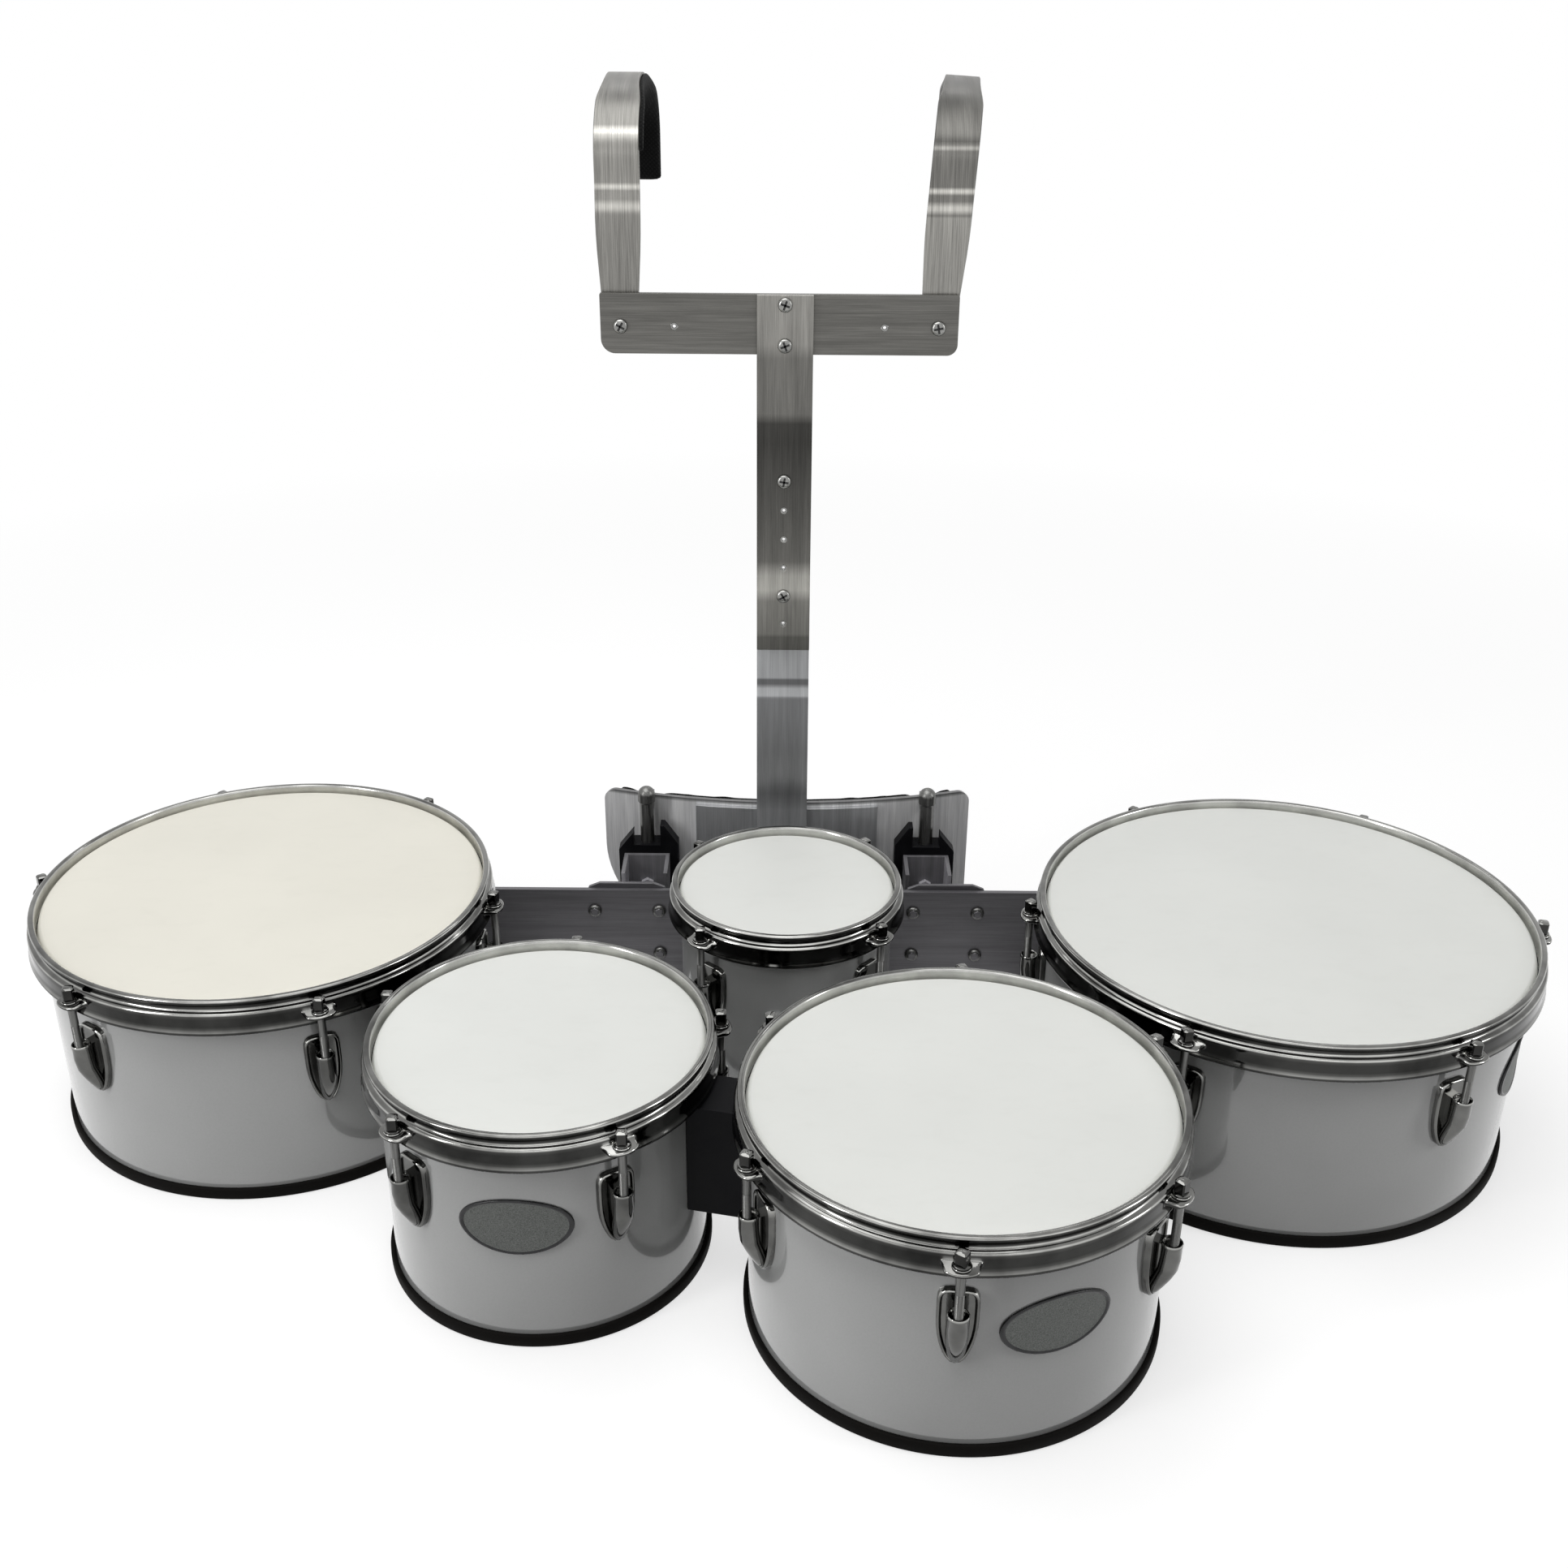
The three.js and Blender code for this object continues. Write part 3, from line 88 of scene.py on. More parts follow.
# Cross section of a plain stretch of hoop, as millimetres outside the head's edge and above the head
HOOP_SECTION = (
    (2.0, -5.7), (2.0, 3.0), (2.25, 4.2), (3.0, 4.85), (4.3, 5.0), (5.6, 4.75), (6.35, 4.0), (6.45, 3.1),
    (5.9, 2.2), (5.0, 1.5), (4.5, 0.5), (4.4, -1.6), (4.75, -2.7), (5.8, -3.3), (7.1, -3.6), (7.9, -4.2),
    (8.3, -5.3), (8.3, -8.2), (8.3, -8.6), (8.3, -8.9), (8.3, -9.3), (8.3, -9.8), (8.3, -10.4), (8.3, -10.9),
    (8.3, -11.4), (8.3, -12.2), (8.3, -13.2), (8.5, -15.4), (9.2, -17.1), (9.5, -18.2), (9.25, -19.1),
    (8.6, -19.5), (7.8, -19.2), (7.2, -18.2), (6.6, -15.5), (6.1, -12.0), (5.9, -5.7),
)
# The points of that section that spread into an ear; those at 0 or less are counted back from the ear's rim
EAR_START = 17
EAR_POINTS = ((8.3, -7.7), (9.3, -8.7), (-1.3, -9.0), (-0.35, -9.4), (0.0, -10.2), (-0.35, -11.1), (-1.3, -11.5),
              (9.3, -11.8), (8.3, -12.8))
# In millimetres along the hoop, which are counted at EAR_LINE outside the head's edge: where the hoop is cut near
# an ear, the half width of its full part, how fast it fades out, and the half width and length of its round end
EAR_STATIONS = (0, 2.5, 5, 7, 8, 8.8, 9.3, 9.8, 10.3, 10.8, 11.4, 12.2, 13.5, 16, 20)
EAR_LINE, EAR_HALF, EAR_FADE, EAR_ROUND, EAR_LENGTH = 9, 8.6, 2.9, 10.6, 7.0
EAR_BASE, EAR_LEAST = 12.5, 9.5  # where the round end starts and the least that an ear stands out

# Half width and depth of a lug's shield, as shares of its width and height
LUG_OUTLINE = ((0.0, 0.0), (0.20, 0.0), (0.33, 0.012), (0.43, 0.045), (0.485, 0.10), (0.5, 0.18), (0.5, 0.40),
               (0.488, 0.52), (0.455, 0.64), (0.40, 0.75), (0.325, 0.85), (0.235, 0.93), (0.13, 0.98), (0.0, 1.0))
# Radius of a lug's cup below its lip, as shares of its radius and depth
CUP_SIDE = ((1.0, 0.25), (0.985, 0.45), (0.94, 0.62), (0.84, 0.77), (0.68, 0.88), (0.45, 0.96), (0.1, 1.0))

# Cross sections in millimetres outside the head's edge, and above the floor or, for the head, above the head
SHELL_SECTION = ((-5.5, 2.8), (-0.6, 2.8), (0.0, 3.4), (0.0, 151.8), (-0.4, 152.6), (-3.0, 155.1), (-3.6, 155.1),
                 (-6.0, 152.4), (-6.0, 3.4))
HEAD_SECTION = ((-12.0, 0.0), (-2.2, 0.0), (-1.2, -0.3), (-0.2, -1.2), (0.7, -3.0), (1.2, -5.6), (1.6, -6.0),
                (4.9, -6.0), (5.3, -6.4), (5.3, -11.6), (4.9, -12.0), (0.8, -12.0), (0.6, -11.6), (0.3, -4.0),
                (-0.8, -1.6), (-3.0, -0.5))
TRIM_SECTION = ((-6.0, 0.4), (-5.6, 0.0), (2.2, 0.0), (2.9, 0.5), (3.2, 1.4), (3.3, 4.5), (3.2, 7.8), (2.7, 8.7),
                (1.8, 9.0), (0.9, 8.8), (0.4, 8.4), (0.4, 2.6), (-5.6, 2.4), (-6.0, 2.0))

# Middle of a receiver from the middle between the carrier rods, and its rivets round that in millimetres
RECEIVER_X, RECEIVER_Z = 0.124, HEAD - 0.087
RIVETS = ((-25, 19), (25, 19), (-25, -19), (25, -19))
# The bolt and web of a clamp channel, seen from the audience: half their width, and how far they lie behind the
# channel's front and before its back
CHANNEL_HALF, CHANNEL_FRONT, WEB_BACK, BOLT_BACK = 0.0145, 0.004, 0.0045, 0.0065
# Faces beyond this share are painted lighter, as painted light on the outer flange
OUTER_FLANGE = 0.36  # share of a channel's width from its middle to its outer flange
ROD_DEPTH = 0.0087  # a carrier rod's axis behind the front of its clamp block

# The belly plate and its pad bend about one upright axis: its Y, and the radii of the plate's front, of the pad's
# front, and of the line behind which the pad may swell
BEND_Y, PLATE_FRONT, PAD_FRONT, PAD_FREE = 0.626, 0.450, 0.4459, 0.4425
PLATE_THICK, PAD_THICK, PAD_MARGIN = 0.0035, 0.0116, 0.0008
ROD_FOOT = {"left": 0.0105, "right": 0.009}  # height of the foot under each carrier rod

# The shoulder hooks: height and Y of their bolts, lean as they stand, and splay of the bar behind the bolt
HOOK_Z, HOOK_Y = 0.526, 0.179
HOOK_LEAN = {"left": 0.0, "right": math.radians(3.5)}
HOOK_SPLAY = {"left": 0.0, "right": math.radians(5)}
HOOK_TIP = 0.177  # how far the hooks reach back
CUSHION_START, CUSHION_STEP = 0.112, 0.004  # height where a cushion starts, and the steps along it
CUSHION_RING, CUSHION_FLAT = 30, 9  # points round a shoulder cushion, and those each side that lie on the bar


# ---------------------------------------------------------------- settings


def length_setting(name, description, default):
    return FloatProperty(name=name, description=description, default=default, unit="LENGTH")


def colour_setting(name, description, default):
    return FloatVectorProperty(name=name, description=description, default=default, subtype="COLOR")


class TenorDrumSizes(bpy.types.PropertyGroup):
    """Sizes of the drums' fittings"""

    lug_width: length_setting("Lug width", "Width of a lug's shield", 0.0235)
    lug_height: length_setting("Lug height", "Height of a lug's shield", 0.052)
    cup_radius: length_setting("Cup radius", "Radius of a lug's cup", 0.0061)
    rod_radius: length_setting("Rod radius", "Radius of a tension rod", 0.0027)
    rod_square: length_setting("Rod head", "Width of a rod's square head", 0.006)
    badge_width: length_setting("Badge width", "Width of an oval badge", 0.068)
    badge_height: length_setting("Badge height", "Height of an oval badge", 0.040)
    round_steps: IntProperty(name="Round steps", description="Steps round a shell", default=192, min=48, max=512)


class TenorCarrierSizes(bpy.types.PropertyGroup):
    """Sizes of the carrier's sheets and pads"""

    edge_round: length_setting("Edge", "Rounding of a sheet's edges", 0.0006)
    pad_swell: length_setting("Pad swell", "Most that a pad may swell", 0.003)
    pad_cell: length_setting("Pad cell", "Mesh size of a pad", 0.0040)
    screw_radius: length_setting("Screw head", "Radius of a screw head", 0.0050)


class TenorFinishes(bpy.types.PropertyGroup):
    """Colours of the finishes"""

    shell: colour_setting("Shell", "Lacquer of the shells", (0.48, 0.485, 0.48))
    head: colour_setting("Head", "Film of the heads", (0.76, 0.77, 0.74))
    cream_head: colour_setting("Cream head", "Film of the twelve inch head", (0.78, 0.76, 0.68))
    chrome: colour_setting("Chrome", "Hoops, rods and lugs", (0.26, 0.26, 0.25))
    rubber: colour_setting("Rubber", "Bottom trims", (0.005, 0.0045, 0.004))
    badge: colour_setting("Badge", "Face of the badges", (0.105, 0.11, 0.105))
    plate: colour_setting("Plate", "Rack plate and clamps", (0.15, 0.147, 0.156))
    belly: colour_setting("Belly plate", "Belly plate", (0.88, 0.88, 0.89))
    lower_spine: colour_setting("Lower spine", "Lower spine bar", (0.135, 0.137, 0.14))
    aluminium: colour_setting("Aluminium", "Spine, crossbar and hooks", (0.24, 0.235, 0.22))
    steel: colour_setting("Steel", "Rods, screws and bolts", (0.30, 0.30, 0.29))
    plastic: colour_setting("Plastic", "Clamp blocks and spacers", (0.005, 0.005, 0.006))
    foam: colour_setting("Foam", "Cloth of the pads", (0.006, 0.006, 0.006))


class TenorStage(bpy.types.PropertyGroup):
    """Floor, light and camera"""

    floor: colour_setting("Floor", "Colour that the floor throws back", (0.18, 0.18, 0.18))
    sky: FloatProperty(name="Sky", description="Strength of the light from all round", default=0.11)
    key: FloatProperty(name="Key", description="Power of the soft box overhead", default=50.0, unit="POWER")
    side: FloatProperty(name="Side", description="Power of a side lamp", default=10.0, unit="POWER")
    strip: FloatProperty(name="Strip", description="Power of a long thin lamp", default=3.0, unit="POWER")
    lens: FloatProperty(name="Lens", description="Focal length of the camera, in millimetres", default=39.65)


def sizes():
    return bpy.context.scene.tenor_drum_sizes


def carrier():
    return bpy.context.scene.tenor_carrier_sizes


def colours():
    return bpy.context.scene.tenor_finishes


# ---------------------------------------------------------------- finishes


class Nodes:
    """The node tree of a material or world, with short calls that add its nodes"""

    def __init__(self, owner):
        owner.use_nodes = True
        self.owner, self.tree = owner, owner.node_tree

    def feed(self, socket, source):
        """Links a socket to another node's output, or sets its own constant"""
        if isinstance(source, bpy.types.NodeSocket):
            self.tree.links.new(source, socket)
        else:
            socket.default_value = (*source, 1.0) if socket.type == "RGBA" else source

    def node(self, kind, links=(), **values):
        made = self.tree.nodes.new(kind)
        for key, value in values.items():
            setattr(made, key, value)
        for socket, source in dict(links).items():
            self.feed(made.inputs[socket], source)
        return made


class Finish(Nodes):
    """A material, with calls for the noise, ramps and bumps that finishes are made of"""

    def __init__(self, name):
        super().__init__(bpy.data.materials.new(name))
        coordinates = self.node("ShaderNodeTexCoord").outputs
        self.place, self.normal = coordinates["Object"], coordinates["Normal"]

    def stretched(self, scale):
        return self.node("ShaderNodeMapping", {"Vector": self.place, "Scale": scale}).outputs["Vector"]

    def noise(self, scale, stretch=(1, 1, 1), detail=3.0, roughness=0.55):
        return self.node("ShaderNodeTexNoise", {
            "Vector": self.stretched(stretch), "Scale": scale, "Detail": detail, "Roughness": roughness,
        }).outputs["Fac"]

    def height(self):
        return self.node("ShaderNodeSeparateXYZ", {"Vector": self.place}).outputs["Z"]

    def facing_up(self):
        """0 for faces that look down, 0.5 for upright ones and 1 for level ones; the chrome's painted reflections
        follow it
        """
        upward = self.node("ShaderNodeSeparateXYZ", {"Vector": self.normal}).outputs["Z"]
        return self.mapped(upward, -1.0, 1.0, 0.0, 1.0)

    def mapped(self, value, low, high, to_low, to_high):
        return self.node("ShaderNodeMapRange", {
            "Value": value, "From Min": low, "From Max": high, "To Min": to_low, "To Max": to_high,
        }).outputs["Result"]

    def ramp(self, value, stops):
        made = self.node("ShaderNodeValToRGB", {"Fac": value})
        elements = made.color_ramp.elements
        elements.remove(elements[1])
        elements[0].position, elements[0].color = stops[0][0], (*stops[0][1], 1.0)
        for position, colour in stops[1:]:
            elements.new(position).color = (*colour, 1.0)
        return made.outputs["Color"]

    def shares(self, value, base, *stops):
        """A ramp of shares of one colour"""
        return self.ramp(value, [(position, tint(base, share)) for position, share in stops])

    def mixed(self, kind, factor, first, second):
        links = {0: factor, 6: first, 7: second}
        return self.node("ShaderNodeMix", links, data_type="RGBA", blend_type=kind).outputs[2]

    def shaded(self, colour, value, *stops, factor=1.0):
        """The colour times a ramp of greys"""
        greys = self.ramp(value, [(position, (grey,) * 3) for position, grey in stops])
        return self.mixed("MULTIPLY", factor, colour, greys)

    def bump(self, value, strength, distance, before=None):
        links = {"Height": value, "Strength": strength, "Distance": distance}
        if before is not None:
            links["Normal"] = before
        return self.node("ShaderNodeBump", links).outputs["Normal"]

    def finish(self, **sockets):
        shader = self.tree.nodes["Principled BSDF"]
        for name, source in sockets.items():
            self.feed(shader.inputs[name.replace("_", " ")], source)
        return self.owner


def tint(colour, factor):
    return tuple(min(1.0, c * factor) for c in colour)


def once(make):
    """Makes a material the first time it is asked for"""
    def found(*values):
        name = "_".join([make.__name__, "finish", *[str(v) for v in values]])
        return bpy.data.materials.get(name) or make(name, *values)
    return found


@once
def lacquer(name):
    n = Finish(name)
    colour = n.shares(n.noise(9.0, detail=2.0), colours().shell, (0.3, 0.93), (0.7, 1.06))
    colour = n.shaded(colour, n.noise(900.0, detail=2.0), (0.35, 0.9), (0.6, 1.0), factor=0.35)
    return n.finish(Base_Color=colour, Roughness=n.mapped(n.noise(45.0), 0.3, 0.7, 0.13, 0.24),
                    Normal=n.bump(n.noise(320.0, detail=2.0), 0.05, 0.0004), Coat_Weight=1.0,
                    Coat_Roughness=0.03, Coat_IOR=1.6)


@once
def plywood(name):
    n = Finish(name)
    grain = n.noise(60.0, stretch=(1, 1, 14), detail=6.0)
    colour = n.ramp(grain, [(0.3, (0.33, 0.22, 0.13)), (0.5, (0.50, 0.36, 0.22)), (0.75, (0.58, 0.44, 0.29))])
    return n.finish(Base_Color=colour, Roughness=0.6, Normal=n.bump(grain, 0.2, 0.0004))


@once
def film(name, cream):
    n = Finish(name)
    base = colours().cream_head if cream else colours().head
    colour = n.shares(n.noise(7.0), base, (0.32, 0.972), (0.68, 1.02))
    scuff = n.noise(38.0, stretch=(1, 1.8, 1), detail=8.0, roughness=0.7)
    colour = n.mixed("MULTIPLY", 0.5, colour, n.ramp(scuff, [(0.3, (0.955, 0.955, 0.95)), (0.5, WHITE)]))
    return n.finish(Base_Color=colour, Roughness=n.mapped(scuff, 0.3, 0.7, 0.5, 0.62),
                    Normal=n.bump(n.noise(1400.0, detail=2.0), 0.08, 0.0002))


# Painted reflection on hoops and rods: dark where they stand upright, bright painted highlights on slopes
@once
def chrome(name):
    return polished(name, (0.4, 0.16, 0.14, 0.3))


# Painted reflection on lugs, lighter than on the hoops where they stand upright
@once
def lug_chrome(name):
    return polished(name, (0.6, 0.42, 0.5, 0.95))


def polished(name, lower):
    """Chrome with painted reflections: its colour follows which way a surface faces, painted dark where it stands
    upright, with bright painted highlights where it slopes up and less bright level tops, broken into patches by a
    noise; lower tones given
    """
    n = Finish(name)
    places = (0.0, 0.3, 0.52, 0.61, 0.70, 0.80, 0.88, 0.95, 1.0)
    colour = n.shares(n.facing_up(), colours().chrome, *zip(places, (*lower, 1.5, 1.9, 0.9, 0.6, 0.75)))
    colour = n.shaded(colour, n.noise(22.0, detail=4.0), (0.32, 0.45), (0.62, 1.2))
    return n.finish(Base_Color=colour, Metallic=1.0, Normal=n.bump(n.noise(85.0, detail=2.0), 0.05, 0.0006),
                    Roughness=n.mapped(n.noise(140.0, detail=5.0), 0.3, 0.75, 0.06, 0.15))


@once
def inner_chrome(name):
    """The inner wall of a hoop, painted lighter as a painted reflection of the pale head beside it"""
    n = Finish(name)
    colour = n.shares(n.noise(40.0, detail=4.0), tint(colours().chrome, 2.0), (0.3, 0.7), (0.7, 1.1))
    return n.finish(Base_Color=colour, Metallic=1.0, Normal=n.bump(n.noise(85.0), 0.05, 0.0006),
                    Roughness=n.mapped(n.noise(140.0, detail=5.0), 0.3, 0.75, 0.1, 0.22))


def brushed(name, base, along, rough, streak, metallic=1.0, tones=()):
    """Metal brushed along x or z, with slow changes of tone and fine scratches; tones go by the height, and on the
    spine bars and hooks they are painted light and shade
    """
    n = Finish(name)
    fine = {"x": (4.0, 260.0, 260.0), "z": (260.0, 4.0, 4.0)}[along]
    wide = {"x": (2.0, 40.0, 40.0), "z": (40.0, 2.0, 2.0)}[along]
    lines = n.noise(6.0, stretch=fine, detail=6.0, roughness=0.7)
    colour = n.shares(n.noise(5.0, stretch=wide), base, (0.3, 0.84), (0.7, 1.14))
    colour = n.shaded(colour, lines, (0.3, 1 - streak), (0.68, 1 + streak * 0.5))
    if tones:
        start, end = tones[0][0], tones[-1][0]
        height = n.mapped(n.height(), start, end, 0.0, 1.0)
        colour = n.shaded(colour, height, *[((z - start) / (end - start), tone) for z, tone in tones])
    return n.finish(Base_Color=colour, Metallic=metallic, Roughness=n.mapped(lines, 0.3, 0.7, *rough),
                    Anisotropic=0.55, Normal=n.bump(lines, 0.10, 0.0003))


# Brushed metals: the setting with their colour and the share of it, the way the lines run, the roughness, how strong
# the lines are, how metallic it is, and tones at heights
METALS = {
    "rack_metal": ("plate", 1.0, "x", (0.34, 0.5), 0.22, 0.5),
    "channel_metal": ("plate", 1.2, "z", (0.34, 0.5), 0.22, 0.15),
    # The outer flange is the channel's metal painted much lighter: painted light where the flange catches it
    "flange_metal": ("plate", 4.5, "z", (0.3, 0.44), 0.3, 0.4),
    # The web is the channel's metal a little lighter and matte, which lifts it out of its shade: painted light
    "web_metal": ("plate", 1.3, "z", (0.4, 0.5), 0.2, 0.0),
    "bolt_zinc": ("plate", 4.6, "x", (0.3, 0.4), 0.15, 0.3),
    "belly_metal": ("belly", 1.0, "z", (0.34, 0.48), 0.2, 0.15, (
        (0.029, 1.0), (0.1495, 1.0), (0.1512, 0.45), (0.1525, 0.2), (0.1535, 0.2))),
    # The lower spine's tones by height are painted light and shade: bright bands where the bar bends are painted
    # highlights with a thin painted dark line between them, and the bar is lighter low down
    "lower_spine_metal": ("lower_spine", 1.0, "z", (0.3, 0.44), 0.2, 0.6, (
        (0.05, 4.2), (0.15, 3.6), (0.165, 1.8), (0.20, 1.35), (0.2465, 1.3), (0.2485, 3.2), (0.2545, 3.0),
        (0.2555, 0.85), (0.2600, 0.9), (0.2615, 2.5), (0.287, 2.7), (0.47, 2.0))),
    # The upper spine's tones by height are painted light and shade: a bright painted highlight band, and painted shade
    # darkest at about 0.45 m
    "upper_spine_metal": ("aluminium", 1.0, "z", (0.3, 0.46), 0.35, 1.0, (
        (0.285, 0.55), (0.2965, 0.58), (0.299, 0.9), (0.325, 1.0), (0.334, 1.9), (0.345, 1.6), (0.356, 0.6),
        (0.39, 0.42), (0.445, 0.22), (0.459, 0.24), (0.466, 0.66), (0.505, 0.72), (0.515, 1.15), (0.55, 1.25))),
    "crossbar_metal": ("aluminium", 0.62, "x", (0.3, 0.46), 0.3, 1.0),
}


def metal(kind):
    setting, share, *looks = METALS[kind]
    name = kind + "_finish"
    return bpy.data.materials.get(name) or brushed(name, tint(getattr(colours(), setting), share), *looks)


@once
def hook_metal(name, side):
    """Painted light and shade on the hooks: thin bright lines across the bar are painted highlights where it bends
    towards the light, and each side has its own painted tones below them and darker painted shade over the top
    """
    lines = {"left": (0.6050, 0.6176, 0.6522), "right": (0.6051, 0.6161, 0.6436)}[side]
    low, high, top = {"left": (0.95, 1.2, 0.62), "right": (1.2, 0.8, 0.42)}[side]
    tones = [(0.50, low), (lines[0] - 0.006, low * 1.15)]
    # Each of these lines is a painted highlight; glow is its brightest painted tone
    for height, width, glow in zip(lines, (0.0045, 0.0026, 0.0020), (2.3, 2.5, 1.7)):
        tones += [(height - width, high), (height - width * 0.2, glow)]
        tones += [(height + width * 0.2, glow), (height + width, high)]
    tones += [(lines[2] + 0.004, top), (0.672, top), (0.680, top * 1.1), (0.69, top * 1.1)]
    return brushed(name, colours().aluminium, "z", (0.3, 0.44), 0.45, tones=tones)


def grained(name, base, cloud, tones, rough, bump, fine=None, ends=(0.3, 0.7), **sockets):
    """A finish whose tone and roughness follow a noise, with bumps from that noise or from a finer one"""
    n = Finish(name)
    value = n.noise(**cloud)
    grain = n.noise(fine, detail=2.0) if fine else value
    return n.finish(Base_Color=n.shares(value, base, *zip(ends, tones)), Roughness=n.mapped(value, 0.3, 0.7, *rough),
                    Normal=n.bump(grain, *bump), **sockets)


@once
def steel(name):
    n = Finish(name)
    wear = n.noise(120.0, detail=5.0)
    return n.finish(Base_Color=n.shares(wear, colours().steel, (0.3, 0.7), (0.7, 1.2)), Metallic=1.0,
                    Roughness=n.mapped(n.noise(300.0), 0.3, 0.7, 0.16, 0.3), Normal=n.bump(wear, 0.06, 0.0003))


@once
def dark_steel(name):
    """Drawn rod with fine lines along it"""
    drawn = {"scale": 6.0, "stretch": (300.0, 300.0, 6.0), "detail": 5.0}
    return grained(name, tint(colours().steel, 0.5), drawn, (0.6, 1.3), (0.24, 0.4), (0.08, 0.0003), Metallic=0.85)


# Painted shade: the insides of lug cups and screw recesses are painted near black, where shade falls
@once
def recess(name):
    n = Finish(name)
    colour = n.ramp(n.noise(200.0), [(0.3, (0.006, 0.006, 0.006)), (0.7, (0.02, 0.02, 0.02))])
    return n.finish(Base_Color=colour, Roughness=0.6)


@once
def rubber(name):
    return grained(name, colours().rubber, {"scale": 70.0, "detail": 4.0}, (0.7, 1.5), (0.6, 0.75), (0.25, 0.0003),
                   fine=1100.0, Specular_IOR_Level=0.06)


@once
def plastic(name):
    return grained(name, colours().plastic, {"scale": 50.0, "detail": 4.0}, (0.7, 1.4), (0.45, 0.6), (0.3, 0.0002),
                   fine=1600.0, Specular_IOR_Level=0.09)


@once
def badge_face(name):
    speckle = {"scale": 1500.0, "detail": 4.0, "roughness": 0.7}
    return grained(name, colours().badge, speckle, (0.55, 1.5), (0.42, 0.58), (0.35, 0.0003), ends=(0.35, 0.65),
                   Metallic=0.75)


@once
def badge_rim(name):
    n = Finish(name)
    cloud = n.noise(160.0)
    colour = n.ramp(cloud, [(0.3, (0.012, 0.012, 0.013)), (0.7, (0.028, 0.028, 0.03))])
    return n.finish(Base_Color=colour, Metallic=0.4, Roughness=n.mapped(cloud, 0.3, 0.7, 0.22, 0.36))


@once
def pad_cloth(name):
    """Black knitted cloth over foam: rows of small stitches with a soft sheen"""
    n = Finish(name)
    base = colours().foam
    across, down = [n.node("ShaderNodeTexWave", {
        "Vector": n.stretched((way, 0.35, 1)), "Scale": 210.0, "Distortion": 1.6, "Detail": 2.0, "Detail Scale": 3.0,
    }, wave_type="BANDS", bands_direction="DIAGONAL").outputs["Fac"] for way in (1, -1)]
    weave = n.node("ShaderNodeMath", {0: across, 1: down}, operation="MULTIPLY").outputs["Value"]
    colour = n.mixed("MIX", weave, tint(base, 0.5), tint(base, 2.2))
    colour = n.shaded(colour, n.noise(24.0, detail=5.0), (0.3, 0.7), (0.7, 1.3), factor=0.7)
    normal = n.bump(n.noise(60.0), 0.15, 0.001, before=n.bump(weave, 0.5, 0.0005))
    return n.finish(Base_Color=colour, Roughness=0.86, Normal=normal, Sheen_Weight=0.08, Sheen_Roughness=0.4,
                    Specular_IOR_Level=0.1)


# ---------------------------------------------------------------- meshes


def finished(name, mesh, body, finishes, replaced=(), sharp=32.0, edge=0.0):
    """Links the mesh as a piece: its finish, smooth shading, rounded edges and the body it rides on"""
    bm = bmesh.new()
    bm.from_mesh(mesh)
    bmesh.ops.remove_doubles(bm, verts=bm.verts, dist=2e-6)
    bmesh.ops.dissolve_degenerate(bm, edges=bm.edges, dist=1e-7)
    bmesh.ops.recalc_face_normals(bm, faces=bm.faces)
    bm.to_mesh(mesh)
    bm.free()
    for finish in finishes if isinstance(finishes, (list, tuple)) else [finishes]:
        mesh.materials.append(finish)
    mesh.shade_smooth()
    mesh.set_sharp_from_angle(angle=math.radians(sharp))
    piece = bpy.data.objects.new(name, mesh)
    bpy.context.scene.collection.objects.link(piece)
    if edge:
        bevel = piece.modifiers.new("rounded edges", "BEVEL")
        bevel.width, bevel.segments, bevel.limit_method = edge, 2, "ANGLE"
        bevel.angle_limit = math.radians(35)
        bevel.harden_normals = True
    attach(piece, body)
    if replaced:
        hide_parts(*([replaced] if isinstance(replaced, str) else replaced))
    return piece


def mesh_of(name, points, faces, kinds=None):
    mesh = bpy.data.meshes.new(name)
    mesh.from_pydata([tuple(p) for p in points], [], faces)
    if kinds:
        mesh.polygons.foreach_set("material_index", kinds)
    mesh.update()
    return mesh


class Shape:
    """Points and faces of one or more closed skins, gathered before they become a mesh"""

    def __init__(self):
        self.points, self.faces, self.kinds = [], [], []

    def rings(self, rings, kind=0, loop=False):
        """A skin over rings of points: loop joins the last ring to the first, or else the ends are closed"""
        start, size, count = len(self.points), len(rings[0]), len(rings)
        for ring in rings:
            self.points.extend(ring)
        for r in range(count if loop else count - 1):
            for i in range(size):
                j = (i + 1) % size
                a, b = start + r * size, start + ((r + 1) % count) * size
                self.faces.append((a + i, a + j, b + j, b + i))
                self.kinds.append(kind(r, i) if callable(kind) else kind)
        for ring, turn in () if loop else ((0, -1), (count - 1, 1)):
            self.faces.append(tuple(start + ring * size + i for i in range(size))[::turn])
            self.kinds.append(kind(min(ring, count - 2), 0) if callable(kind) else kind)
        return self

    def turned(self, profile, steps, kind=0):
        """A closed profile of (radius, height) turned about Z"""
        return self.rings([[(*polar(r, a), z) for r, z in profile] for a in round_angles(steps)], kind, loop=True)

    def block(self, low, high):
        """A box between two corners"""
        (x0, y0, z0), (x1, y1, z1) = low, high
        return self.rings([[(x0, y0, z), (x1, y0, z), (x1, y1, z), (x0, y1, z)] for z in (z0, z1)])

    def add(self, other):
        """Takes in the skins of another shape"""
        offset = len(self.points)
        self.points += other.points
        self.faces += [tuple(i + offset for i in face) for face in other.faces]
        self.kinds += other.kinds

    def placed(self, matrix):
        self.points = [tuple(matrix @ Vector(p)) for p in self.points]
        return self

    def mesh(self, name):
        return mesh_of(name, self.points, self.faces, self.kinds)


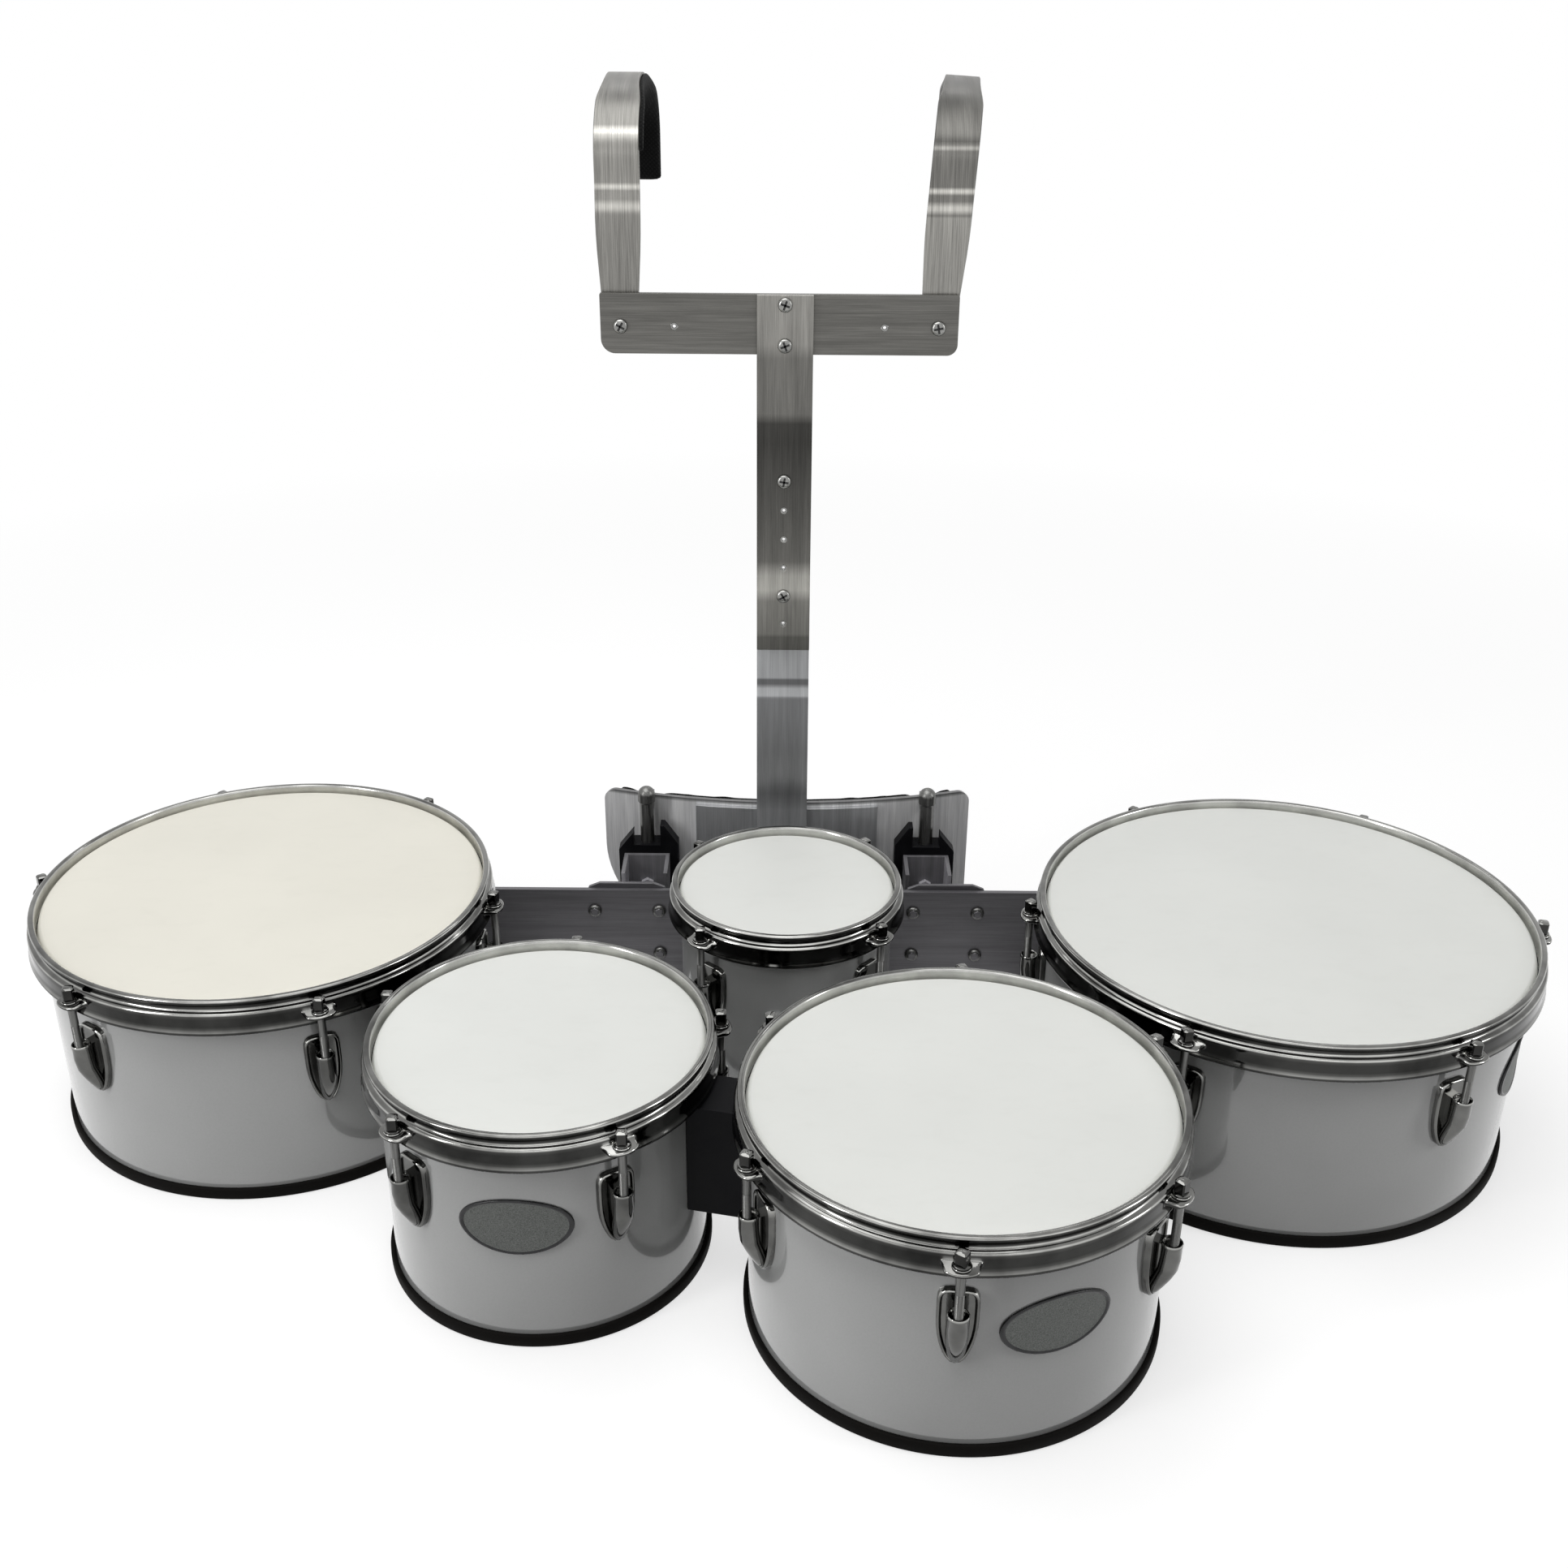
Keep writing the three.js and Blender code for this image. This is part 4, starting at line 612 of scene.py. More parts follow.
def copy_of(node):
    """The node's own shape as a new mesh, its split corners joined and flat faces made whole"""
    mesh = frame["nodes"][node].data.copy()
    mesh.materials.clear()
    for name in [a.name for a in mesh.attributes if a.name == "custom_normal"]:
        mesh.attributes.remove(mesh.attributes[name])
    bm = bmesh.new()
    bm.from_mesh(mesh)
    bmesh.ops.remove_doubles(bm, verts=bm.verts, dist=2e-6)
    bmesh.ops.dissolve_limit(bm, angle_limit=math.radians(0.5), verts=bm.verts, edges=bm.edges)
    for face in bm.faces:
        face.material_index = 0
    bm.to_mesh(mesh)
    bm.free()
    return mesh


def refined(node, finish, edge=None):
    """Stands for a node with its own shape, rounded edges and a finish"""
    return finished(node + "_piece", copy_of(node), frame["nodes"][node]["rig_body"], finish, node,
                    edge=carrier().edge_round if edge is None else edge)


def centre_of(node):
    low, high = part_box(node)
    return (low + high) / 2


def upright(node):
    """The place on the floor under a node's centre"""
    centre = centre_of(node)
    return Matrix.Translation((centre.x, centre.y, 0))


def metres(section, radius, height=0.0):
    """A section given in millimetres outside a radius and above a height"""
    return [(radius + r * MM, height + z * MM) for r, z in section]


def round_angles(steps):
    return [2 * math.pi * k / steps for k in range(steps)]


def polar(radius, angle):
    return radius * math.cos(angle), radius * math.sin(angle)


def round_outline(x0, x1, z0, z1, radii, steps=8):
    """Corner points of a rectangle with rounded corners, from the low left one, anticlockwise"""
    corners = ((x0, z0, 1, 1), (x1, z0, -1, 1), (x1, z1, -1, -1), (x0, z1, 1, -1))
    points = []
    for index, (x, z, sx, sz) in enumerate(corners):
        radius = radii[index]
        for step in range(steps + 1):
            angle = math.pi + (index + step / steps) * math.pi / 2
            points.append((x + sx * radius + radius * math.cos(angle), z + sz * radius + radius * math.sin(angle)))
    return points


def sheet(name, outline, holes, thickness, place, spacing=None):
    """A mesh of sheet metal from its outline and round holes; place bends it, and spacing cuts it up for that"""
    bm = bmesh.new()
    rims = [[(x + r * math.cos(a), z + r * math.sin(a)) for a in round_angles(24)] for x, z, r in holes]
    for loop in [outline, *rims]:
        corners = [bm.verts.new((x, 0, z)) for x, z in loop]
        for index, corner in enumerate(corners):
            bm.edges.new((corners[index - 1], corner))
    bmesh.ops.triangle_fill(bm, use_beauty=True, use_dissolve=False, edges=bm.edges[:])
    if spacing:
        low, high = min(x for x, _ in outline), max(x for x, _ in outline)
        for step in range(1, int((high - low) / spacing)):
            bmesh.ops.bisect_plane(bm, geom=bm.verts[:] + bm.edges[:] + bm.faces[:],
                                   plane_co=(low + step * spacing, 0, 0), plane_no=(1, 0, 0))
    else:
        bmesh.ops.dissolve_limit(bm, angle_limit=0.01, verts=bm.verts[:], edges=bm.edges[:])
    made = bmesh.ops.extrude_face_region(bm, geom=bm.faces[:])
    for vertex in [g for g in made["geom"] if isinstance(g, bmesh.types.BMVert)]:
        vertex.co.y = thickness
    for vertex in bm.verts:
        vertex.co = place(vertex.co.x, vertex.co.y, vertex.co.z)
    mesh = bpy.data.meshes.new(name)
    bm.to_mesh(mesh)
    bm.free()
    return mesh


def smooth_step(value):
    t = min(1.0, max(0.0, value))
    return t * t * (3 - 2 * t)


# ---------------------------------------------------------------- drums


def on_drum(section, finish_at, node):
    """A skin turned about a drum's axis"""
    return Shape().turned(section, sizes().round_steps, finish_at).placed(upright(node))


class TENOR_OT_shells(bpy.types.Operator):
    """Turns the five lacquered shells, with bare ply inside"""

    bl_idname = "tenor.shells"
    bl_label = "Shells"

    def execute(self, context):
        bare = (0, 5, 6, 7, 8)
        for name, diameter, *_ in DRUMS:
            shape = on_drum(metres(SHELL_SECTION, diameter / 2), lambda ring, i: int(i in bare), f"{name}_bottom_trim")
            finished(f"{name}_shell", shape.mesh(name), "drum_rack", [lacquer(), plywood()],
                     f"{name}_shell_and_lugs")
        return {"FINISHED"}


class TENOR_OT_heads(bpy.types.Operator):
    """Makes the five heads: film, collar and flesh hoop"""

    bl_idname = "tenor.heads"
    bl_label = "Heads"

    def execute(self, context):
        for name, diameter, *_ in DRUMS:
            r = diameter / 2
            profile = [(0.0, HEAD), (r * 0.5, HEAD), *metres(HEAD_SECTION, r, HEAD), (0.0, HEAD - 0.0005)]
            shape = on_drum(profile, lambda ring, i: int(8 <= i <= 13), f"{name}_head")
            cream = name == "drum_12"
            finished(f"{name}_film", shape.mesh(name), "drum_rack", [film(cream), steel()], f"{name}_head",
                     sharp=50)
        return {"FINISHED"}


def lug_angles(lugs, first):
    return [math.radians(first) + 2 * math.pi * k / lugs for k in range(lugs)]


def lug_places(name, lugs, first, radius):
    """Places at a radius of the drum where its lugs sit, X pointing out"""
    for angle in lug_angles(lugs, first):
        yield upright(f"{name}_bottom_trim") @ Matrix.Rotation(angle, 4, "Z") @ Matrix.Translation((radius, 0, 0))


def hoop_sections(radius, ears):
    """The hoop's cross sections, closer together round the ears; the radius is in millimetres"""
    arm = radius + EAR_LINE

    def from_ear(angle):
        return min(abs(math.remainder(angle - ear, 2 * math.pi)) for ear in ears)

    near = [y / arm for y in EAR_STATIONS]
    angles = [a for a in round_angles(144) if from_ear(a) > near[-1] * 1.15]
    angles += [ear + side * step for ear in ears for step in near for side in ((-1, 1) if step else (1,))]
    rings = []
    for angle in sorted(a % (2 * math.pi) for a in angles):
        offset = from_ear(angle) * arm
        share = 1 - smooth_step((offset - EAR_HALF) / EAR_FADE)
        reach = EAR_BASE + EAR_LENGTH * math.sqrt(max(0.0, 1 - (offset / EAR_ROUND) ** 2))
        ring = []
        for index, (r, z) in enumerate(HOOP_SECTION):
            if share > 0 and EAR_START <= index < EAR_START + len(EAR_POINTS):
                ear_r, ear_z = EAR_POINTS[index - EAR_START]
                if ear_r <= 0:
                    ear_r = max(EAR_LEAST, reach + ear_r)
                r, z = r + (ear_r - r) * share, z + (ear_z - z) * share
            ring.append((*polar((radius + r) * MM, angle), HEAD + z * MM))
        rings.append(ring)
    return rings


class TENOR_OT_hoops(bpy.types.Operator):
    """Presses the five hoops: a rolled lip, a step, a skirt, and an ear at each rod"""

    bl_idname = "tenor.hoops"
    bl_label = "Hoops"

    def execute(self, context):
        inner = (0, 1, len(HOOP_SECTION) - 1)
        for name, diameter, lugs, first, _ in DRUMS:
            rings = hoop_sections(diameter / 2 / MM, lug_angles(lugs, first))
            shape = Shape().rings(rings, lambda ring, i: int(i in inner), loop=True)
            shape.placed(upright(f"{name}_bottom_trim"))
            finished(f"{name}_hoop", shape.mesh(name), "drum_rack", [chrome(), inner_chrome()], f"{name}_hoop_and_rods",
                     sharp=45)
        return {"FINISHED"}


def rod_mesh():
    """A tension rod with its square head, washers and thread, on the Z axis at the head's height"""
    half = sizes().rod_square / 2 * math.sqrt(2)
    low, top, thread, thread_end, end = (HEAD + z * MM for z in (-6.4, 2.0, -27.0, -47.0, -60.5))
    flats = [math.radians(90 * k) + side * 0.14 for k in range(4) for side in (-1, 1)]
    shape = Shape().rings([[(*polar(radius, a), z) for a in flats]
                           for radius, z in ((half, low), (half, top - 0.0008), (0.72 * half, top))])
    shape.turned(metres(((0.0, 0.0), (0.0, -1.2), (4.6, -1.2), (5.0, -0.8), (4.9, -0.3), (4.0, 0.0)), 0.0, low), 28)
    shape.turned(metres(((0.0, -1.2), (0.0, -2.6), (5.5, -2.6), (5.6, -2.3), (5.6, -1.6), (5.3, -1.2)), 0.0, low), 28)
    radius, start, pitch = sizes().rod_radius, low - 0.0026, 0.0008
    side = [(radius, start), (radius, thread)]
    while thread > thread_end:
        side += [(radius * 0.90, thread - pitch * 0.5), (radius, thread - pitch)]
        thread -= pitch
    side += [(radius, end + 0.001), (radius * 0.7, end)]
    return shape.turned([(0.0, start), *side, (0.0, end)], 16, 1)


class TENOR_OT_tension_rods(bpy.types.Operator):
    """Sets a tension rod in each ear of each hoop"""

    bl_idname = "tenor.tension_rods"
    bl_label = "Tension rods"

    def execute(self, context):
        for name, diameter, lugs, first, _ in DRUMS:
            for k, place in enumerate(lug_places(name, lugs, first, diameter / 2 + 0.0125)):
                shape = rod_mesh().placed(place @ Matrix.Rotation(0.3 * k, 4, "Z"))
                finished(f"{name}_tension_rod_{k + 1}", shape.mesh(name), "drum_rack",
                         [chrome(), dark_steel()], sharp=38)
        return {"FINISHED"}


def lug_shape(radius):
    """A lug: shield with a raised rim and a hollow each side of a cup that is open at its top; the inside of the cup
    takes the second finish, painted shade
    """
    width, height, top, cup_top = sizes().lug_width, sizes().lug_height, HEAD - 0.033, HEAD - 0.0425
    half = [(s * width, top - d * height) for s, d in LUG_OUTLINE]
    corners = half + [(-y, z) for y, z in reversed(half[1:-1])]
    outline = []
    for (y, z), (y2, z2) in zip(corners, corners[1:] + corners[:1]):
        outline += [(y, z), ((y + y2) / 2, (z + z2) / 2)]

    def inset(distance):
        points = []
        for index, (y, z) in enumerate(outline):
            (y0, z0), (y1, z1) = outline[index - 1], outline[(index + 1) % len(outline)]
            along = Vector((y1 - y0, z1 - z0)).normalized()
            points.append((y + along.y * distance, z - along.x * distance))
        return points

    rim = ((0.0, -1.6), (0.0, 2.6), (0.3, 3.6), (0.9, 4.2), (1.6, 4.2), (2.2, 3.6), (2.8, 2.6))
    rings = [[(out * MM - y * y / (2 * radius), y, z) for y, z in inset(distance * MM)] for distance, out in rim]
    middle, hollow = top - height * 0.46, inset(0.0028)
    for share, out in ((0.8, 0.0022), (0.5, 0.0022), (0.2, 0.0024)):
        rings.append([(out, y * share, middle + (z - middle) * share) for y, z in hollow])
    shape = Shape().rings(rings)
    cup_low, cup, cup_axis, wall = top - height * 0.985, sizes().cup_radius, 0.0112, 0.0011

    def cup_ring(share, z, back=0.0):
        return [(cup_axis - back + cup * share * math.cos(a), cup * share * math.sin(a), z) for a in round_angles(32)]

    inside = (cup - wall) / cup
    lip = ((inside * 0.9, -10.0), (inside, -8.0), (inside, -0.6), (inside + 0.05, 0.0), (0.96, 0.1), (1.03, -0.6),
           (1.03, -1.6), (1.0, -2.2))
    rings = [cup_ring(share, cup_top + z * MM) for share, z in lip]
    for share, down in CUP_SIDE:
        back = 0.0088 * smooth_step((down - 0.3) / 0.75)
        rings.append(cup_ring(share, cup_top - down * (cup_top - cup_low), back))
    shape.rings(rings, lambda ring, i: int(ring == 0))
    web = [(0.0014, -0.0040), (0.0014, 0.0040), (0.0105, 0.0034), (0.0105, -0.0034)]
    return shape.rings([[(x * share, y * share, cup_top - down) for x, y in web]
                        for down, share in ((0.0015, 1.0), (0.016, 0.98), (0.028, 0.8))])


class TENOR_OT_lugs(bpy.types.Operator):
    """Sets a lug under each tension rod"""

    bl_idname = "tenor.lugs"
    bl_label = "Lugs"

    def execute(self, context):
        for name, diameter, lugs, first, _ in DRUMS:
            for k, place in enumerate(lug_places(name, lugs, first, diameter / 2)):
                finished(f"{name}_lug_{k + 1}", lug_shape(diameter / 2).placed(place).mesh(name), "drum_rack",
                         [lug_chrome(), recess()], sharp=50)
        return {"FINISHED"}


class TENOR_OT_trims(bpy.types.Operator):
    """Fits the black trim on the bottom of each shell"""

    bl_idname = "tenor.trims"
    bl_label = "Bottom trims"

    def execute(self, context):
        for name, diameter, *_ in DRUMS:
            shape = on_drum(metres(TRIM_SECTION, diameter / 2), 0, f"{name}_bottom_trim")
            finished(f"{name}_trim", shape.mesh(name), "drum_rack", rubber(), f"{name}_bottom_trim",
                     sharp=50)
        return {"FINISHED"}


class TENOR_OT_badges(bpy.types.Operator):
    """Puts the bare oval badges on the shells"""

    bl_idname = "tenor.badges"
    bl_label = "Badges"

    def execute(self, context):
        levels = [(1.0, 0.0003), (1.0, 0.0012), (0.992, 0.0017), (0.97, 0.0019), (0.93, 0.0018), (0.91, 0.0013),
                  (0.88, 0.0012), (0.7, 0.00125), (0.4, 0.0013), (0.1, 0.0013)]
        wide, tall, middle = sizes().badge_width / 2, sizes().badge_height / 2, HEAD - 0.065
        for name, diameter, _, _, turn in DRUMS:
            if turn is None:
                continue
            r, rings = diameter / 2, []
            for share, out in levels:
                ring = []
                for a in round_angles(96):
                    angle = math.radians(turn) + math.asin(share * wide * math.cos(a) / r)
                    ring.append((*polar(r + out, angle), middle + share * tall * math.sin(a)))
                rings.append(ring)
            shape = Shape().rings(rings, lambda ring, i: int(ring >= 5)).placed(upright(f"{name}_bottom_trim"))
            finished(f"{name}_badge_plate", shape.mesh(name), "drum_rack", [badge_rim(), badge_face()], f"{name}_badge",
                     sharp=60)
        return {"FINISHED"}


# ---------------------------------------------------------------- rack and clamps


def screw_head(radius, height, matrix, cross=0.6):
    """A pan head with a cross recess, its seat on the XY plane and its top along Z; the recess takes the second finish,
    which its callers give as painted shade
    """
    side = [(1.0, 0.0), (1.02, 0.25), (0.97, 0.55), (0.84, 0.80), (0.62, 0.94), (0.35, 1.0)]
    made = Shape().turned([(0.0, 0.0), *[(radius * r, height * z) for r, z in side], (0.0, height)], 28)
    for turn in (0, math.pi / 2):
        arm, width = radius * cross, radius * 0.15
        box = [(-arm, -width), (arm, -width), (arm, width), (-arm, width)]
        c, s = math.cos(turn), math.sin(turn)
        made.rings([[(x * c - y * s, x * s + y * c, z) for x, y in box] for z in (height * 0.3, height * 1.012)], 1)
    return made.placed(matrix)


def to_front(x, y, z, turn):
    """A place whose Z axis points at the audience"""
    return Matrix.Translation((x, y, z)) @ Vector((0, -1, 0)).to_track_quat("Z", "Y").to_matrix().to_4x4() @ \
        Matrix.Rotation(turn, 4, "Z")


class TENOR_OT_rack(bpy.types.Operator):
    """Dresses the rack plate, its receivers, rivets and bolts"""

    bl_idname = "tenor.rack"
    bl_label = "Rack plate and receivers"

    def execute(self, context):
        refined("rack_plate", metal("rack_metal"))
        for node in ("rack_bolt_6", "rack_bolt_12", "rack_bolt_13"):
            refined(node, steel(), edge=0.0004)
        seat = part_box("rack_plate")[0].y - 0.0002
        middle = centre_of("carrier_rod_left").x / 2 + centre_of("carrier_rod_right").x / 2
        for side, sign in SIDES:
            refined(f"receiver_{side}", metal("rack_metal"))
            shape = Shape()
            for index, (dx, dz) in enumerate(RIVETS):
                x, z = middle + sign * RECEIVER_X + dx * MM, RECEIVER_Z + dz * MM
                place = to_front(x, seat, z, 0.5 * index + sign)
                shape.add(screw_head(0.0052, 0.0030, place))
            finished(f"rack_rivets_{side}", shape.mesh(side), "drum_rack", [dark_steel(), recess()])
        return {"FINISHED"}


class TENOR_OT_spacers(bpy.types.Operator):
    """Dresses the black blocks between the shells and their bolts"""

    bl_idname = "tenor.spacers"
    bl_label = "Spacer blocks"

    def execute(self, context):
        for pair in ("12_8", "8_10", "10_13"):
            refined(f"spacer_{pair}", plastic(), edge=0.0012)
            refined(f"spacer_bolt_{pair}", steel(), edge=0.0004)
        return {"FINISHED"}


def channel_part(face, low, high, sign):
    """Which part of a clamp channel a face belongs to: 0 the rest, 1 outer flange, 2 web, 3 bolt; the outer flange and
    the web are then given lighter copies of the channel's metal, as painted light
    """
    beyond = (face.center.x - (low.x + high.x) / 2) * sign
    if beyond > (high.x - low.x) * OUTER_FLANGE:
        return 1
    level, y = abs(face.normal.z) >= 0.9, face.center.y
    if level or abs(beyond) >= CHANNEL_HALF or not low.y + CHANNEL_FRONT < y < high.y - WEB_BACK:
        return 0
    return 3 if y < high.y - BOLT_BACK else 2


class TENOR_OT_clamps(bpy.types.Operator):
    """Dresses the clamp channels, their black blocks and tilt bolts"""

    bl_idname = "tenor.clamps"
    bl_label = "Clamps"

    def execute(self, context):
        for side, sign in SIDES:
            node = f"clamp_channel_{side}"
            mesh, (low, high) = copy_of(node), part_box(node)
            for face in mesh.polygons:
                face.material_index = channel_part(face, low, high, sign)
            # The outer flange and the web take lighter copies of the channel's metal, which are painted light
            finishes = [metal(kind) for kind in ("channel_metal", "flange_metal", "web_metal", "bolt_zinc")]
            finished(f"{node}_piece", mesh, frame["nodes"][node]["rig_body"], finishes, node,
                     edge=0.0005)
            refined(f"clamp_block_{side}", plastic(), edge=0.0022)
            refined(f"tilt_bolt_{side}", steel(), edge=0.0005)
        return {"FINISHED"}


def rod_y(side):
    """Y of a carrier rod's axis"""
    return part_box(f"clamp_block_{side}")[0].y + ROD_DEPTH


class TENOR_OT_carrier_rods(bpy.types.Operator):
    """Turns the two carrier rods with their domed caps and upper brackets"""

    bl_idname = "tenor.carrier_rods"
    bl_label = "Carrier rods"

    def execute(self, context):
        r, dome, tongue = 0.0055, 0.0055 * 1.25, 0.0052
        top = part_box("belly_plate")[1].z
        for side, _ in SIDES:
            node = f"carrier_rod_{side}"
            low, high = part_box(node)
            x, y, neck = (low.x + high.x) / 2, rod_y(side), high.z - 2 * dome
            profile = [(0.0, low.z), (r - 0.0008, low.z), (r, low.z + 0.0008), (r, neck), (dome * 0.9, neck + 0.0004),
                       (dome, neck + 0.0014)]
            profile += [(dome * math.cos(a), high.z - dome + dome * math.sin(a)) for a in round_angles(32)[:8]]
            shape = Shape().turned([*profile, (0.0, high.z)], 40).placed(Matrix.Translation((x, y, 0)))
            shape.block((x - tongue, y + 0.001, top - 0.0087), (x + tongue, y + 0.0125, top + 0.0003))
            shape.block((x - tongue, y, top + 0.0003), (x + tongue, high.y, top + 0.0028))
            finished(f"{node}_piece", shape.mesh(node), "belly_carrier", dark_steel(), node,
                     edge=0.0004)
        return {"FINISHED"}


# ---------------------------------------------------------------- carrier


class TENOR_OT_belly_plate(bpy.types.Operator):
    """Dresses the bent belly plate and the foot of each carrier rod"""

    bl_idname = "tenor.belly_plate"
    bl_label = "Belly plate"

    def execute(self, context):
        low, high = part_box("belly_plate")
        middle = (low.x + high.x) / 2
        outline = round_outline(low.x - middle, high.x - middle, low.z, high.z, (0.074, 0.026, 0.010, 0.010), 16)
        screws = [centre_of(f"belly_screw_{k}") for k in (1, 2)]

        def bent(x, t, z):
            angle, radius = math.asin(x / PLATE_FRONT), PLATE_FRONT - t
            return (middle + radius * math.sin(angle), BEND_Y - radius * math.cos(angle), z)

        screw_hole, rod_hole = 0.0027, 0.0058
        holes = [(s.x - middle, s.z, screw_hole) for s in screws]
        plate = sheet("belly_plate_piece", outline, holes, PLATE_THICK, bent, spacing=0.006)
        finished(plate.name, plate, "belly_carrier", metal("belly_metal"), "belly_plate",
                 edge=carrier().edge_round)
        for side, _ in SIDES:
            x, y = centre_of(f"tilt_bolt_{side}").x, rod_y(side)
            outer = round_outline(-0.010, 0.010, -0.0085, 0.0125, (0.003, 0.003, 0.001, 0.001), 4)
            ring = sheet(f"rod_foot_{side}", outer, [(0, 0, rod_hole)], ROD_FOOT[side],
                         lambda u, t, w: (x + u, y + w, low.z + 0.001 + t))
            finished(ring.name, ring, "belly_carrier", metal("belly_metal"), edge=0.0004)
        return {"FINISHED"}


class TENOR_OT_spine(bpy.types.Operator):
    """Dresses the lower and upper spine bars and the crossbar"""

    bl_idname = "tenor.spine"
    bl_label = "Spine and crossbar"

    def execute(self, context):
        refined("lower_spine", metal("lower_spine_metal"), edge=0.0005)
        refined("upper_spine", metal("upper_spine_metal"), edge=0.0004)
        low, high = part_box("shoulder_crossbar")
        middle = (low.x + high.x) / 2
        screws = [centre_of(f"crossbar_screw_{k}") for k in (1, 2)]
        screw_hole, bolt_hole, bolt_x, spare_x, thread_step = 0.0026, 0.0033, 0.111, 0.0735, 0.0219
        holes = [(screw.x, screw.z, screw_hole) for screw in screws]
        holes += [(middle + sign * bolt_x, HOOK_Z, bolt_hole) for _, sign in SIDES]
        spare = [(middle + sign * spare_x, HOOK_Z, screw_hole) for _, sign in SIDES]
        outline = round_outline(low.x, high.x, low.z, high.z, (0.010, 0.0075, 0.0015, 0.0015), 10)
        piece = sheet("shoulder_crossbar_piece", outline, holes + spare, 0.004, lambda x, t, z: (x, low.y + t, z))
        finished(piece.name, piece, "shoulder_frame", metal("crossbar_metal"), "shoulder_crossbar",
                 edge=0.0004)
        spine, front, top = centre_of("upper_spine").x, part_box("upper_spine")[0].y, centre_of("height_screw_1").z
        inserts = [(x, low.y, z) for x, z, _ in spare] + [(spine, front, top - k * thread_step) for k in (1, 2, 3, 5)]
        section = metres(((1.2, 0.4), (1.5, 0.0), (2.4, 0.0), (2.4, 3.6), (1.5, 3.6), (1.2, 3.2)), 0.0)
        shape = Shape()
        for x, y, z in inserts:
            place = Matrix.Translation((x, y + 0.0002, z)) @ Matrix.Rotation(-math.pi / 2, 4, "X")
            shape.add(Shape().turned(section, 20).placed(place))
        finished("thread_inserts", shape.mesh("inserts"), "shoulder_frame", steel())
        return {"FINISHED"}


class TENOR_OT_fasteners(bpy.types.Operator):
    """Turns the screws of the spine, the crossbar and the shoulder hooks"""

    bl_idname = "tenor.fasteners"
    bl_label = "Screws"

    def execute(self, context):
        nodes = [f"{place}_screw_{k}" for place in ("belly", "height", "crossbar") for k in (1, 2)]
        nodes += [f"{side}_shoulder_bolt" for side, _ in SIDES]
        r = carrier().screw_radius
        for index, node in enumerate(nodes):
            low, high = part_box(node)
            x, z, head = (low.x + high.x) / 2, (low.z + high.z) / 2, 0.0030 if "bolt" in node else 0.0026
            start, end = low.y + head, high.y - head
            shape = Shape().turned([(0.0, start), (0.0023, start), (0.0023, end), (0.0, end)], 20)
            shape.turned([(0.0, end), (r * 0.9, end), (r, high.y - head * 0.8), (r, high.y - head * 0.3),
                          (r * 0.85, high.y), (0.0, high.y)], 6)
            lying = Matrix.Rotation(math.pi / 2, 4, "X") @ Matrix.Scale(-1, 4, (0, 0, 1))
            shape.placed(Matrix.Translation((x, 0, z)) @ lying)
            shape.add(screw_head(r, head, to_front(x, start, z, 0.7 * index), cross=0.66))
            finished(f"{node}_piece", shape.mesh(node), frame["nodes"][node]["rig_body"], [steel(), recess()], node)
        return {"FINISHED"}


def hook_place(side):
    """The place of a shoulder hook's bolt, and its lean as it stands in the frame"""
    middle = centre_of(f"{side}_shoulder_bolt")
    return Matrix.Translation((middle.x, HOOK_Y, HOOK_Z)) @ Matrix.Rotation(HOOK_LEAN[side], 4, "Y")


def between(a, b, share):
    return (a[0] * (1 - share) + b[0] * share, a[1] * (1 - share) + b[1] * share)


def hook_path():
    """Middle line of a hook bar from the side, as distance behind its foot and height above its bolt"""
    back, half, base, rise = 0.005, 0.086, 0.108, 0.048  # start of the arch, half its length, and its two heights
    arch = [math.pi * (1 - k / 40) for k in range(41)]
    points = [(back + half + half * math.cos(a), base + rise * math.sin(a)) for a in arch]
    foot = [(0.0, -0.018 + 0.0012 * k) for k in range(6)]
    line = [*foot, (0.0, 0.02), (0.0, 0.068), (back, 0.094), *points, (HOOK_TIP, 0.076)]
    for _ in range(2):
        cut = [between(a, b, share) for a, b in zip(line, line[1:]) for share in (0.25, 0.75)]
        line = [line[0], *cut, line[-1]]
    return line


def hook_width(back, up):
    """Half the width of a hook bar: rounded at its foot, and drawn in a little over the shoulder"""
    narrow, wide, corner, rear = 0.0125, 0.0155, 0.006, 0.09
    drawn_in = 0.0030 * smooth_step((up - 0.142) / 0.014)
    if back > rear:
        return wide - drawn_in
    foot = min(1.0, max(0.0, (up + 0.0184) / 0.007))
    return narrow - corner * (1 - math.sqrt(1 - (1 - foot) ** 2)) + 0.003 * smooth_step(up / 0.07) - drawn_in


def along_hook(line, side, section):
    """A skin along a hook's line; section gives a ring's points, as x and the distance outside the line"""
    rings = []
    for index, (back, up) in enumerate(line):
        before, after = line[max(index - 1, 0)], line[min(index + 1, len(line) - 1)]
        along = Vector((after[0] - before[0], after[1] - before[1])).normalized()
        ring = []
        for x, out in section(index, hook_width(back, up)):
            b, u = back - along.y * out, up + along.x * out
            ring.append((x + b * math.tan(HOOK_SPLAY[side]), b, u))
        rings.append(ring)
    return Shape().rings(rings).placed(hook_place(side))


def bar_section(_, wide):
    """A flat bar four millimetres thick, its edges eased"""
    flat = wide - 0.0006
    outside = [(-wide, 0.001), (-flat, 0.002), (flat, 0.002), (wide, 0.001)]
    return outside + [(x, -out) for x, out in reversed(outside)]


